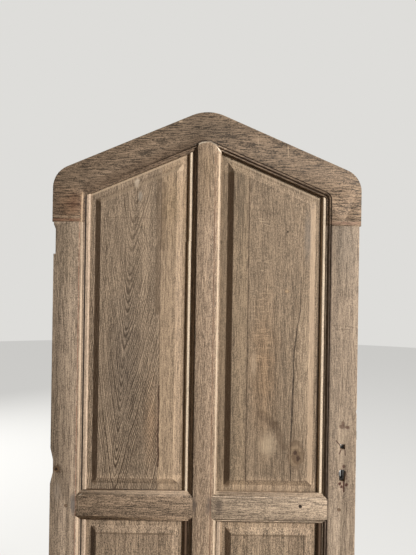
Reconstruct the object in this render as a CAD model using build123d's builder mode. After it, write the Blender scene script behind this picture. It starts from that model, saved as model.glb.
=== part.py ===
from build123d import *
import os
from math import cos, hypot, radians, sin, tan

# An arched door leaf of oak: two stiles, a muntin, a peaked top rail, mid rails, a bottom rail and
# four raised panels, with a mortise lock left in its stile. The lower part is finished plainly.
# Millimetres. X runs across the leaf, +X towards the lock. The front face looks to -Y and Z is up.
# The origin is the middle of the bottom edge. A depth is measured from the front face inwards.

# Leaf
door_width = 850.0
door_height = 2000.0
thickness = 38.0
head_slope = 23.05
peak_radius = 115.0
shoulder_radius = 65.0
head_overhang = 4.5
head_drop = 311.0

# Frame members, each width taken on the flat of its face
hinge_stile_face = 72.0
lock_stile_face = 78.0
muntin_face = 52.0
muntin_centre_x = -1.5
top_rail_face = 79.0
mid_rail_face = 56.0
mid_rail_centre_z = 900.0
bottom_rail_face = 180.0
muntin_head_drop = 82.5
muntin_head_rise = 11.0

# Moulding stuck on the front edges of every member
moulding_width = 14.0
quirk_depth = 2.2
quirk_inset = 0.8
ovolo_width = 7.4
ovolo_drop = 4.6
bead_step = 0.8
bead_drop = 3.4
corner_radius = 22.0
tool_overrun = 1.5

# Panel groove, tenons and the play left in them
groove_front = 16.0
groove_width = 10.0
groove_depth = 12.0
tongue_reach = 10.0
panel_play = 0.2
tenon_length = 60.0
stub_length = 25.0
tenon_play = 0.2
mortise_end_play = 0.8
head_tenon_inset = 20.0
muntin_head_tenon_width = 40.0
muntin_head_tenon_length = 35.0
bottom_haunch = 40.0

# Raised panels and their glued boards
border_side = 26.0
border_without_slip = 19.5
border_end = 17.0
bevel_width = 17.0
field_front = 8.0
upper_left_joint_x = -128.0
upper_right_joint_x = 118.0
lower_left_joint_x = (-215.0, -121.0)
lower_right_joint_x = (126.0, 243.0)

# Loose slips along the upright sides of the panels
slip_width = 10.5
slip_height = 7.0
slip_flat = 6.0
slip_play = 0.15
slip_gap = 2.0
slip_break_drop = 359.0
slip_break_step = 1.2

# Pegs
peg_radius = 5.0
peg_play = 0.05
peg_edge_inset = 45.5
head_peg_edge_inset = 34.0
head_peg_rise = 21.0
bottom_peg_z = (75.0, 150.0)

# Recess that a hinge left, and the places broken out of the edges
hinge_recess_drop = 89.0
hinge_recess_height = 68.0
hinge_recess_depth = 5.6
hinge_recess_reach = 30.0
hinge_recess_tear = 14.0
break_centre_z = 1010.0
break_height = 100.0
break_floor_height = 31.0
break_depth = 8.0
break_reach = 24.0
chip_centre_z = 1174.0
chip_height = 19.0
chip_depth = 2.0
chip_reach = 7.0

# Lock. Its places are taken from the spindle's axis: backset is from the faceplate's outer face.
spindle_z = 1075.0
backset = 38.0
faceplate_thickness = 3.0
faceplate_width = 20.0
faceplate_margin = 24.0
case_behind_axis = 27.0
case_above_axis = 53.0
case_below_axis = 107.0
case_thickness = 14.0
sheet = 1.6
pocket_play = 0.5
spindle_hole_in_wood = 13.5
spindle_square = 9.0
keyhole_drop = 80.0
keyhole_wood_width = 20.0
keyhole_wood_foot_width = 15.0
keyhole_wood_height = 33.5
key_shank_drop = 72.0
key_shank_radius = 4.5
key_slot_width = 5.0
key_slot_length = 19.0

# Moving parts of the lock
bolt_thickness = 10.0
tail_thickness = 6.0
bolt_play = 0.15
latch_rise = 28.0
latch_height = 22.0
latch_throw = 6.0
latch_head_length = 13.0
latch_bevel_length = 9.0
latch_nose = 3.0
latch_collar_length = 4.0
latch_collar_lip = 2.0
latch_tail_height = 7.0
latch_tail_beyond = 9.0
lug_length = 5.4
guide_length = 6.0
hub_radius = 10.5
journal_radius = 7.5
running_play = 0.05
arm_reach = 25.0
arm_width = 7.0
dead_bolt_above_key = 11.0
dead_bolt_height = 26.0
dead_bolt_head_length = 20.0
dead_bolt_behind_axis = 20.0
dead_bolt_throw = 14.0
talon_width = 14.0
talon_height = 7.0
stud_radius = 2.5
stud_before_axis = 8.0
stud_rise = 16.0
stud_play = 0.15
leaf_thickness = 0.8
leaf_width = 5.0
leaf_foot_drop = 12.5
bow_rise = 5.0
bow_length = 30.0
bow_seat_length = 3.0
bow_seat_height = 6.0
pillar_radius = 3.5
pillar_rim_gap = 5.0
pillar_axis_drops = (10.0, 19.0)
cover_screw_radius = 1.5
cover_screw_head_radius = 2.8
cover_screw_length = 8.0
face_screw_inset = 11.0
face_screw_radius = 1.9
face_screw_head_radius = 4.0
face_screw_length = 24.0
screw_slot_width = 1.0
screw_slot_depth = 0.9

# Lines that the members share
front_y = -thickness / 2
middle = thickness / 2
edge_x = door_width / 2
head_joint_z = door_height - head_drop
muntin_head_apex_z = door_height - muntin_head_drop
muntin_head_shoulder_z = muntin_head_apex_z - muntin_head_rise
hinge_recess_bottom_z = head_joint_z - hinge_recess_drop
slip_break_z = door_height - slip_break_drop
slope = radians(head_slope)
groove_back = groove_front + groove_width
apex_z = door_height + peak_radius * (1 / cos(slope) - 1)
sight_apex_z = apex_z - (top_rail_face + moulding_width) / cos(slope)
hinge_sight_x = -edge_x + hinge_stile_face + moulding_width
lock_sight_x = edge_x - lock_stile_face - moulding_width
muntin_left_sight_x = muntin_centre_x - muntin_face / 2 - moulding_width
muntin_right_sight_x = muntin_centre_x + muntin_face / 2 + moulding_width
mid_low_sight_z = mid_rail_centre_z - mid_rail_face / 2 - moulding_width
mid_high_sight_z = mid_rail_centre_z + mid_rail_face / 2 + moulding_width
bottom_sight_z = bottom_rail_face + moulding_width


def sight_z(x):
    """Height of the sloping sight line under the top rail."""
    return sight_apex_z - tan(slope) * abs(x)


def front_plane(depth):
    """Plane parallel to the front face. Its normal looks out of the front."""
    return Plane.XZ.offset(thickness / 2 - depth)


def block(x_range, z_range, depth_range, mode=Mode.ADD):
    """Box given by its limits across, up and into the leaf."""
    x0, x1 = sorted(x_range)
    z0, z1 = sorted(z_range)
    d0, d1 = depth_range
    with Locations(((x0 + x1) / 2, front_y + (d0 + d1) / 2, (z0 + z1) / 2)):
        Box(x1 - x0, d1 - d0, z1 - z0, mode=mode)


def rod(x, z, radius, depth_range, mode=Mode.ADD):
    """Cylinder whose axis runs through the leaf from front to back."""
    d0, d1 = depth_range
    with Locations((x, front_y + (d0 + d1) / 2, z)):
        Cylinder(radius, d1 - d0, rotation=(90, 0, 0), mode=mode)


def moved_sides(corners, shifts):
    """Corners of an anticlockwise outline after side i, from corner i on, moves out by shifts[i]."""
    lines = []
    for (x0, z0), (x1, z1), shift in zip(corners, corners[1:] + corners[:1], shifts):
        length = hypot(x1 - x0, z1 - z0)
        dx, dz = (x1 - x0) / length, (z1 - z0) / length
        lines.append((x0 + dz * shift, z0 - dx * shift, dx, dz))
    moved = []
    for (xa, za, dxa, dza), (xb, zb, dxb, dzb) in zip(lines[-1:] + lines[:-1], lines):
        step = ((xb - xa) * dzb - (zb - za) * dxb) / (dxa * dzb - dza * dxb)
        moved.append((xa + dxa * step, za + dza * step))
    return moved


def upper_opening(left_x, right_x, foot_z):
    """Corners of an opening under the top rail, on the sight lines."""
    return [(left_x, foot_z), (right_x, foot_z), (right_x, sight_z(right_x)), (left_x, sight_z(left_x))]


def lower_opening(left_x, right_x):
    """Corners of an opening under a mid rail, on the sight lines."""
    return [
        (left_x, bottom_sight_z),
        (right_x, bottom_sight_z),
        (right_x, mid_low_sight_z),
        (left_x, mid_low_sight_z),
    ]


def outline_face(corners, depth, round_corner=None, radius=0.0):
    """Flat face at a depth, with one corner rounded where round_corner gives its index."""
    with BuildSketch(front_plane(depth)) as face:
        Polygon(*corners, align=None)
        if round_corner is not None:
            place = Vector(*corners[round_corner])
            fillet(face.vertices().sort_by_distance((place.X, place.Y, 0))[0], radius)
    return face.sketch


def edge_plane(x, z, to_opening):
    """Plane square across a moulded edge: local x runs to the opening and local y is depth."""
    return Plane(origin=(x, front_y, z), x_dir=to_opening, z_dir=to_opening.cross(Vector(0, 1, 0)))


def edge_profile(plane):
    """What is cut from a moulded edge: the ovolo and bead, and the groove behind them."""
    ovolo_start = (quirk_inset, quirk_depth)
    ovolo_end = (quirk_inset + ovolo_width, quirk_depth + ovolo_drop)
    ovolo_middle = (
        quirk_inset + ovolo_width * sin(radians(45)),
        ovolo_end[1] - ovolo_drop * cos(radians(45)),
    )
    bead_start = (ovolo_end[0] + bead_step, ovolo_end[1])
    bead_end = (moulding_width, ovolo_end[1] + bead_drop)
    bead_middle = (
        bead_start[0] + (bead_end[0] - bead_start[0]) * sin(radians(45)),
        bead_end[1] - bead_drop * cos(radians(45)),
    )
    clear_x = moulding_width + tool_overrun
    with BuildSketch(plane) as profile:
        with BuildLine():
            Polyline((0, -tool_overrun), (0, quirk_depth), ovolo_start)
            ThreePointArc(ovolo_start, ovolo_middle, ovolo_end)
            Line(ovolo_end, bead_start)
            ThreePointArc(bead_start, bead_middle, bead_end)
            Polyline(bead_end, (clear_x, bead_end[1]), (clear_x, -tool_overrun), (0, -tool_overrun))
        make_face()
        with Locations(((moulding_width - groove_depth + clear_x) / 2, (groove_front + groove_back) / 2)):
            Rectangle(clear_x - moulding_width + groove_depth, groove_width)
    return profile.sketch


def upright_profile(sight_x, side, foot_z):
    """Edge profile of a stile or the muntin, side +1 where the opening lies towards +X."""
    return edge_profile(edge_plane(sight_x - side * moulding_width, foot_z, Vector(side, 0, 0)))


def level_profile(sight_z_value, side, start_x):
    """Edge profile of a rail, side +1 where the opening lies above it."""
    return edge_profile(edge_plane(start_x, sight_z_value - side * moulding_width, Vector(0, 0, side)))


def mid_rail_front(left_x, right_x):
    """Front outline of a mid rail between two sight lines, mitred into its neighbours."""
    low, high = mid_low_sight_z, mid_high_sight_z
    m = moulding_width
    return [
        (left_x - m, low + m),
        (left_x, low),
        (right_x, low),
        (right_x + m, low + m),
        (right_x + m, high - m),
        (right_x, high),
        (left_x, high),
        (left_x - m, high - m),
    ]


def tenon_z(low_sight_z, high_sight_z):
    """Height range of a tenon between the grooves of its rail."""
    return (low_sight_z + groove_depth, high_sight_z - groove_depth)


left_bay = (hinge_sight_x, muntin_left_sight_x)
right_bay = (muntin_right_sight_x, lock_sight_x)
left_mid_front = mid_rail_front(*left_bay)
right_mid_front = mid_rail_front(*right_bay)
bottom_front = [
    (hinge_sight_x - moulding_width, 0),
    (lock_sight_x + moulding_width, 0),
    (lock_sight_x + moulding_width, bottom_rail_face),
    (lock_sight_x, bottom_sight_z),
    (hinge_sight_x, bottom_sight_z),
    (hinge_sight_x - moulding_width, bottom_rail_face),
]
mid_tenon_z = tenon_z(mid_low_sight_z, mid_high_sight_z)
bottom_tenon_z = (bottom_haunch, bottom_sight_z - groove_depth)
tenon_depth = (groove_front, groove_back)
mortise_depth = (groove_front - tenon_play, groove_back + tenon_play)

# Heights and distances that the lock's pieces share, each distance from the faceplate's outer face
case_end = backset + case_behind_axis
case_low_z = spindle_z - case_below_axis
case_high_z = spindle_z + case_above_axis
faceplate_low_z = case_low_z - faceplate_margin
faceplate_high_z = case_high_z + faceplate_margin
face_screw_z = (faceplate_low_z + face_screw_inset, faceplate_high_z - face_screw_inset)
keyhole_wood_z = spindle_z - keyhole_drop
key_shank_z = spindle_z - key_shank_drop
latch_low_z = spindle_z + latch_rise - latch_height / 2
latch_high_z = latch_low_z + latch_height
dead_bolt_low_z = key_shank_z + dead_bolt_above_key
dead_bolt_high_z = dead_bolt_low_z + dead_bolt_height
stud_distance = backset - stud_before_axis
stud_z = dead_bolt_low_z + stud_rise
case_front = middle - case_thickness / 2
case_back = middle + case_thickness / 2
cover_back = case_front + sheet
plate_front = case_back - sheet
near_pillar = faceplate_thickness + pillar_rim_gap + pillar_radius
far_pillar = case_end - sheet - pillar_rim_gap - pillar_radius
foot_pillar_z = case_low_z + sheet + pillar_rim_gap + pillar_radius
pillar_places = (
    (near_pillar, foot_pillar_z),
    (far_pillar, foot_pillar_z),
    (near_pillar, spindle_z - pillar_axis_drops[0]),
    (far_pillar, spindle_z - pillar_axis_drops[1]),
)

os.makedirs("parts", exist_ok=True)


def muntin_face_at(depth, foot_corners):
    """Outline of the muntin with its arched head, on feet given from left to right."""
    left_shoulder = (muntin_left_sight_x + moulding_width, muntin_head_shoulder_z)
    right_shoulder = (muntin_right_sight_x - moulding_width, muntin_head_shoulder_z)
    with BuildSketch(front_plane(depth)) as face:
        with BuildLine():
            Polyline(
                left_shoulder,
                (muntin_left_sight_x, sight_z(muntin_left_sight_x)),
                *foot_corners,
                (muntin_right_sight_x, sight_z(muntin_right_sight_x)),
                right_shoulder,
            )
            ThreePointArc(right_shoulder, (muntin_centre_x, muntin_head_apex_z), left_shoulder)
        make_face()
    return face.sketch


muntin_front_feet = [
    (muntin_left_sight_x, bottom_sight_z),
    (muntin_left_sight_x + moulding_width, bottom_rail_face),
    (muntin_right_sight_x - moulding_width, bottom_rail_face),
    (muntin_right_sight_x, bottom_sight_z),
]
muntin_back_feet = [(muntin_left_sight_x, bottom_sight_z), (muntin_right_sight_x, bottom_sight_z)]

# Top rail: one shaped board with a leg over each stile
with BuildPart() as top_rail:
    outer_x = edge_x + head_overhang
    shoulder_z = apex_z - tan(slope) * outer_x
    with BuildSketch(front_plane(0)) as head_outline:
        Polygon(
            (-outer_x, head_joint_z),
            (outer_x, head_joint_z),
            (outer_x, shoulder_z),
            (0, apex_z),
            (-outer_x, shoulder_z),
            align=None,
        )
        fillet(head_outline.vertices().sort_by(Axis.Y)[-1], peak_radius)
        for corner_x in (-outer_x, outer_x):
            fillet(head_outline.vertices().sort_by_distance((corner_x, shoulder_z))[0], shoulder_radius)
    extrude(amount=-thickness)
    sight_radius = corner_radius - moulding_width
    left_hole = upper_opening(*left_bay, mid_high_sight_z)
    right_hole = upper_opening(*right_bay, mid_high_sight_z)
    extrude(outline_face(left_hole, 0, 3, sight_radius), amount=-thickness, mode=Mode.SUBTRACT)
    extrude(outline_face(right_hole, 0, 2, sight_radius), amount=-thickness, mode=Mode.SUBTRACT)
    extrude(muntin_face_at(0, muntin_back_feet), amount=-thickness, mode=Mode.SUBTRACT)
    for side, outer_sight_x, inner_x in (
        (1, hinge_sight_x, muntin_left_sight_x + moulding_width),
        (-1, lock_sight_x, muntin_right_sight_x - moulding_width),
    ):
        face_x = outer_sight_x - side * moulding_width
        lift = moulding_width / cos(slope)
        start_z = head_joint_z - tool_overrun
        with BuildLine(front_plane(0)) as edge_path:
            FilletPolyline(
                (face_x, start_z),
                (face_x, sight_z(face_x) + lift),
                (inner_x, sight_z(inner_x) + lift),
                radius=corner_radius,
            )
        sweep(upright_profile(outer_sight_x, side, start_z), path=edge_path.wire(), mode=Mode.SUBTRACT)
    for side, sight_x in ((1, hinge_sight_x), (-1, lock_sight_x)):
        block(
            (side * (-edge_x + head_tenon_inset - tenon_play), sight_x - side * (groove_depth - tenon_play)),
            (head_joint_z, head_joint_z + tenon_length + mortise_end_play),
            mortise_depth,
            Mode.SUBTRACT,
        )
    half_tenon = muntin_head_tenon_width / 2 + tenon_play
    block(
        (muntin_centre_x - half_tenon, muntin_centre_x + half_tenon),
        (muntin_head_shoulder_z, muntin_head_apex_z + muntin_head_tenon_length + mortise_end_play),
        mortise_depth,
        Mode.SUBTRACT,
    )
    rod(
        edge_x - head_peg_edge_inset,
        head_joint_z + head_peg_rise,
        peg_radius + peg_play,
        (0, thickness),
        Mode.SUBTRACT,
    )
top_rail.part.label = "top_rail"
export_step(top_rail.part, "parts/top_rail.step")

# Muntin: runs from the bottom rail up into the arched notch of the top rail
with BuildPart() as muntin:
    extrude(muntin_face_at(0, muntin_front_feet), amount=-groove_front)
    extrude(muntin_face_at(groove_front, muntin_back_feet), amount=-(thickness - groove_front))
    for mid_front in (left_mid_front, right_mid_front):
        extrude(outline_face(mid_front, 0), amount=-groove_front, mode=Mode.SUBTRACT)
    for sight_x, side in ((muntin_left_sight_x, -1), (muntin_right_sight_x, 1)):
        profile = upright_profile(sight_x, side, mid_rail_centre_z)
        extrude(profile, amount=door_height, both=True, mode=Mode.SUBTRACT)
        block(
            (sight_x, sight_x - side * (stub_length + mortise_end_play)),
            (mid_tenon_z[0] - tenon_play, mid_tenon_z[1] + tenon_play),
            mortise_depth,
            Mode.SUBTRACT,
        )
    half_tenon = muntin_head_tenon_width / 2
    block(
        (muntin_centre_x - half_tenon, muntin_centre_x + half_tenon),
        (muntin_head_shoulder_z, muntin_head_apex_z + muntin_head_tenon_length),
        tenon_depth,
    )
    block(
        (muntin_left_sight_x + groove_depth, muntin_right_sight_x - groove_depth),
        (bottom_sight_z - tenon_length, bottom_sight_z + groove_depth),
        tenon_depth,
    )
muntin.part.label = "muntin"
export_step(muntin.part, "parts/muntin.step")

# Hinge stile
with BuildPart() as hinge_stile:
    block((-edge_x, hinge_sight_x), (0, head_joint_z), (0, thickness))
    for rail_front in (left_mid_front, bottom_front):
        extrude(outline_face(rail_front, 0), amount=-groove_front, mode=Mode.SUBTRACT)
    extrude(upright_profile(hinge_sight_x, 1, 0), amount=head_joint_z, mode=Mode.SUBTRACT)
    for low_z, high_z in (mid_tenon_z, bottom_tenon_z):
        block(
            (hinge_sight_x, hinge_sight_x - tenon_length - mortise_end_play),
            (low_z - tenon_play, high_z + tenon_play),
            mortise_depth,
            Mode.SUBTRACT,
        )
    block(
        (-edge_x + head_tenon_inset, hinge_sight_x - groove_depth),
        (head_joint_z - tool_overrun, head_joint_z + tenon_length),
        tenon_depth,
    )
    recess_x = -edge_x + hinge_recess_depth
    recess_top_z = hinge_recess_bottom_z + hinge_recess_height
    recess = [
        (-edge_x, hinge_recess_bottom_z),
        (recess_x, hinge_recess_bottom_z),
        (recess_x, recess_top_z),
        (-edge_x, recess_top_z + hinge_recess_tear),
    ]
    extrude(outline_face(recess, 0), amount=-hinge_recess_reach, mode=Mode.SUBTRACT)
    break_x = -edge_x + break_depth
    broken = [
        (-edge_x, break_centre_z - break_height / 2),
        (break_x, break_centre_z - break_floor_height / 2),
        (break_x, break_centre_z + break_floor_height / 2),
        (-edge_x, break_centre_z + break_height / 2),
    ]
    extrude(outline_face(broken, 0), amount=-break_reach, mode=Mode.SUBTRACT)
    rod(-edge_x + peg_edge_inset, mid_rail_centre_z, peg_radius + peg_play, (0, thickness), Mode.SUBTRACT)
    for peg_z in bottom_peg_z:
        rod(-edge_x + peg_edge_inset, peg_z, peg_radius + peg_play, (0, thickness), Mode.SUBTRACT)
hinge_stile.part.label = "hinge_stile"
export_step(hinge_stile.part, "parts/hinge_stile.step")

# Lock stile, with the pocket of the lock and the holes for its spindle and key
axis_x = edge_x - backset
pocket_half = case_thickness / 2 + pocket_play
with BuildPart() as lock_stile:
    block((lock_sight_x, edge_x), (0, head_joint_z), (0, thickness))
    for rail_front in (right_mid_front, bottom_front):
        extrude(outline_face(rail_front, 0), amount=-groove_front, mode=Mode.SUBTRACT)
    extrude(upright_profile(lock_sight_x, -1, 0), amount=-head_joint_z, mode=Mode.SUBTRACT)
    for low_z, high_z in (mid_tenon_z, bottom_tenon_z):
        block(
            (lock_sight_x, lock_sight_x + tenon_length + mortise_end_play),
            (low_z - tenon_play, high_z + tenon_play),
            mortise_depth,
            Mode.SUBTRACT,
        )
    block(
        (lock_sight_x + groove_depth, edge_x - head_tenon_inset),
        (head_joint_z - tool_overrun, head_joint_z + tenon_length),
        tenon_depth,
    )
    block(
        (edge_x - faceplate_thickness, edge_x),
        (faceplate_low_z, faceplate_high_z),
        (middle - faceplate_width / 2, middle + faceplate_width / 2),
        Mode.SUBTRACT,
    )
    block(
        (edge_x - case_end - pocket_play, edge_x),
        (case_low_z - pocket_play, case_high_z + pocket_play),
        (middle - pocket_half, middle + pocket_half),
        Mode.SUBTRACT,
    )
    half_square = spindle_hole_in_wood / 2
    block(
        (axis_x - half_square, axis_x + half_square),
        (spindle_z - half_square, spindle_z + half_square),
        (0, thickness),
        Mode.SUBTRACT,
    )
    with BuildSketch(front_plane(0)) as keyhole:
        crown_z = keyhole_wood_z + keyhole_wood_height / 2 - keyhole_wood_width / 2
        with Locations((axis_x, crown_z)):
            Circle(keyhole_wood_width / 2)
        Polygon(
            (axis_x - keyhole_wood_foot_width / 2, keyhole_wood_z - keyhole_wood_height / 2),
            (axis_x + keyhole_wood_foot_width / 2, keyhole_wood_z - keyhole_wood_height / 2),
            (axis_x + keyhole_wood_width / 2, crown_z),
            (axis_x - keyhole_wood_width / 2, crown_z),
            align=None,
        )
    extrude(amount=-thickness, mode=Mode.SUBTRACT)
    chip = [
        (edge_x, chip_centre_z - chip_height / 2),
        (edge_x, chip_centre_z + chip_height / 2),
        (edge_x - chip_depth, chip_centre_z),
    ]
    extrude(outline_face(chip, 0), amount=-chip_reach, mode=Mode.SUBTRACT)
    rod(edge_x - peg_edge_inset, mid_rail_centre_z, peg_radius + peg_play, (0, thickness), Mode.SUBTRACT)
    rod(
        edge_x - head_peg_edge_inset,
        head_joint_z + head_peg_rise,
        peg_radius + peg_play,
        (0, thickness),
        Mode.SUBTRACT,
    )
    for peg_z in bottom_peg_z:
        rod(edge_x - peg_edge_inset, peg_z, peg_radius + peg_play, (0, thickness), Mode.SUBTRACT)
    for screw_z in face_screw_z:
        with Locations((edge_x, 0, screw_z)):
            Cylinder(
                face_screw_radius,
                face_screw_length,
                rotation=(0, 90, 0),
                align=(Align.CENTER, Align.CENTER, Align.MAX),
                mode=Mode.SUBTRACT,
            )
lock_stile.part.label = "lock_stile"
export_step(lock_stile.part, "parts/lock_stile.step")

# Mid rails, one each side of the muntin, with a long tenon in the stile and a stub in the muntin
for name, bay, rail_front, stile_side in (
    ("mid_rail_left", left_bay, left_mid_front, -1),
    ("mid_rail_right", right_bay, right_mid_front, 1),
):
    with BuildPart() as mid_rail:
        extrude(outline_face(rail_front, 0), amount=-groove_front)
        block(bay, (mid_low_sight_z, mid_high_sight_z), (groove_front, thickness))
        start_x = (bay[0] + bay[1]) / 2
        for sight_value, side in ((mid_low_sight_z, -1), (mid_high_sight_z, 1)):
            profile = level_profile(sight_value, side, start_x)
            extrude(profile, amount=door_width, both=True, mode=Mode.SUBTRACT)
        stile_sight_x, muntin_sight_x = (bay[1], bay[0]) if stile_side > 0 else bay
        for sight_x, reach in ((stile_sight_x, tenon_length), (muntin_sight_x, -stub_length)):
            block((start_x, sight_x + stile_side * reach), mid_tenon_z, tenon_depth)
        peg_x = stile_side * (edge_x - peg_edge_inset)
        rod(peg_x, mid_rail_centre_z, peg_radius + peg_play, (0, thickness), Mode.SUBTRACT)
    mid_rail.part.label = name
    export_step(mid_rail.part, f"parts/{name}.step")

# Bottom rail between the stiles
with BuildPart() as bottom_rail:
    extrude(outline_face(bottom_front, 0), amount=-groove_front)
    block((hinge_sight_x, lock_sight_x), (0, bottom_sight_z), (groove_front, thickness))
    extrude(muntin_face_at(0, muntin_front_feet), amount=-groove_front, mode=Mode.SUBTRACT)
    extrude(level_profile(bottom_sight_z, 1, 0), amount=door_width, both=True, mode=Mode.SUBTRACT)
    for side, sight_x in ((-1, hinge_sight_x), (1, lock_sight_x)):
        block((sight_x, sight_x + side * tenon_length), bottom_tenon_z, tenon_depth)
        block((sight_x, sight_x + side * (groove_depth - tenon_play)), (0, bottom_haunch), tenon_depth)
    block(
        (muntin_left_sight_x + groove_depth - tenon_play, muntin_right_sight_x - groove_depth + tenon_play),
        (bottom_sight_z - tenon_length - mortise_end_play, bottom_sight_z),
        mortise_depth,
        Mode.SUBTRACT,
    )
    for peg_z in bottom_peg_z:
        for peg_side in (-1, 1):
            peg_x = peg_side * (edge_x - peg_edge_inset)
            rod(peg_x, peg_z, peg_radius + peg_play, (0, thickness), Mode.SUBTRACT)
bottom_rail.part.label = "bottom_rail"
export_step(bottom_rail.part, "parts/bottom_rail.step")

# Raised panels, each cut into its glued boards
panels = {
    "upper_left": (upper_opening(*left_bay, mid_high_sight_z), 3, (upper_left_joint_x,), border_side),
    "upper_right": (upper_opening(*right_bay, mid_high_sight_z), 2, (upper_right_joint_x,), border_without_slip),
    "lower_left": (lower_opening(*left_bay), None, lower_left_joint_x, border_side),
    "lower_right": (lower_opening(*right_bay), None, lower_right_joint_x, border_side),
}
tongue_front = groove_front + panel_play
for panel_name, (opening, round_corner, joints_x, border_left) in panels.items():
    tongue = moved_sides(opening, [tongue_reach] * 4)
    border = moved_sides(opening, [-border_end, -border_side, -border_end, -border_left])
    field = moved_sides(border, [-bevel_width] * 4)
    cuts = [opening[0][0] - groove_depth, *joints_x, opening[1][0] + groove_depth]
    for number, board_range in enumerate(zip(cuts, cuts[1:]), start=1):
        with BuildPart() as board:
            tongue_radius = corner_radius - moulding_width + tongue_reach
            extrude(
                outline_face(tongue, tongue_front, round_corner, tongue_radius),
                amount=-(groove_width - 2 * panel_play),
            )
            loft([outline_face(border, tongue_front), outline_face(field, field_front)], ruled=True)
            block(board_range, (0, door_height), (0, thickness), Mode.INTERSECT)
        board.part.label = f"panel_{panel_name}_board_{number}"
        export_step(board.part, f"parts/{board.part.label}.step")


def slip_profile(sight_x, side, foot_z, step):
    """Section of a slip: flat against the moulding, rounded towards the panel."""
    near = moulding_width + slip_play + step
    far = near + slip_width
    top = tongue_front - slip_height
    round_width = slip_width - slip_flat
    plane = edge_plane(sight_x - side * moulding_width, foot_z, Vector(side, 0, 0))
    with BuildSketch(plane) as profile:
        with BuildLine():
            Polyline((far, tongue_front), (near, tongue_front), (near, top), (near + slip_flat, top))
            ThreePointArc(
                (near + slip_flat, top),
                (
                    near + slip_flat + round_width * sin(radians(45)),
                    tongue_front - slip_height * cos(radians(45)),
                ),
                (far, tongue_front),
            )
        make_face()
    return profile.sketch


# Slips. The one beside the muntin at the upper left is in two lengths, and the upper right panel has
# none there.
upper_foot = (mid_high_sight_z, door_height)
lower_foot = (bottom_sight_z, mid_low_sight_z)
slips = (
    ("slip_upper_left_outer", "upper_left", hinge_sight_x, 1, slip_gap, upper_foot),
    ("slip_upper_left_inner_foot", "upper_left", muntin_left_sight_x, -1, slip_break_step,
     (mid_high_sight_z, slip_break_z)),
    ("slip_upper_left_inner_head", "upper_left", muntin_left_sight_x, -1, 0.0,
     (slip_break_z + slip_play, door_height)),
    ("slip_upper_right_outer", "upper_right", lock_sight_x, -1, 0.0, upper_foot),
    ("slip_lower_left_outer", "lower_left", hinge_sight_x, 1, slip_gap, lower_foot),
    ("slip_lower_left_inner", "lower_left", muntin_left_sight_x, -1, 0.0, lower_foot),
    ("slip_lower_right_inner", "lower_right", muntin_right_sight_x, 1, slip_gap, lower_foot),
    ("slip_lower_right_outer", "lower_right", lock_sight_x, -1, 0.0, lower_foot),
)
for name, panel_name, sight_x, side, step, (foot_z, head_z) in slips:
    opening, round_corner, *_ = panels[panel_name]
    with BuildPart() as slip:
        extrude(slip_profile(sight_x, side, foot_z, step), amount=side * (head_z - foot_z))
        inside = moved_sides(opening, [-slip_play] * 4)
        cutter = outline_face(inside, 0, round_corner, corner_radius - moulding_width)
        extrude(cutter, amount=-thickness, mode=Mode.INTERSECT)
    slip.part.label = name
    export_step(slip.part, f"parts/{name}.step")

# Pegs through the tenons
with BuildPart() as pegs:
    for peg_side in (-1, 1):
        peg_x = peg_side * (edge_x - peg_edge_inset)
        for peg_z in (mid_rail_centre_z, *bottom_peg_z):
            rod(peg_x, peg_z, peg_radius, (0, thickness))
    rod(edge_x - head_peg_edge_inset, head_joint_z + head_peg_rise, peg_radius, (0, thickness))
pegs.part.label = "pegs"
export_step(pegs.part, "parts/pegs.step")

# Lock
def face_x(distance):
    """Place across the leaf of a distance from the faceplate's outer face."""
    return edge_x - distance


def centred(width):
    """Depth range of a width centred in the leaf's thickness."""
    return (middle - width / 2, middle + width / 2)


def key_opening():
    """Opening for the key: a round for the shank over a slot for the bit."""
    with BuildSketch(front_plane(0)) as opening:
        with Locations((axis_x, key_shank_z)):
            Circle(key_shank_radius)
        with Locations((axis_x, key_shank_z - key_slot_length / 2)):
            Rectangle(key_slot_width, key_slot_length)
    return opening.sketch


with BuildPart() as lock_faceplate:
    block(
        (face_x(0), face_x(faceplate_thickness)),
        (faceplate_low_z, faceplate_high_z),
        centred(faceplate_width),
    )
    for low_z, high_z in ((latch_low_z, latch_high_z), (dead_bolt_low_z, dead_bolt_high_z)):
        block(
            (face_x(0), face_x(faceplate_thickness)),
            (low_z - bolt_play, high_z + bolt_play),
            centred(bolt_thickness + 2 * bolt_play),
            Mode.SUBTRACT,
        )
    head_length = face_screw_head_radius - face_screw_radius
    for screw_z in face_screw_z:
        with Locations((face_x(faceplate_thickness / 2), 0, screw_z)):
            Cylinder(face_screw_radius, faceplate_thickness, rotation=(0, 90, 0), mode=Mode.SUBTRACT)
        with Locations((face_x(head_length / 2), 0, screw_z)):
            Cone(
                face_screw_radius,
                face_screw_head_radius,
                head_length,
                rotation=(0, 90, 0),
                mode=Mode.SUBTRACT,
            )
lock_faceplate.part.label = "lock_faceplate"
export_step(lock_faceplate.part, "parts/lock_faceplate.step")

lug_distance = backset + arm_width / 2 + bolt_play
latch_tail_end = lug_distance + lug_length + latch_tail_beyond

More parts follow.
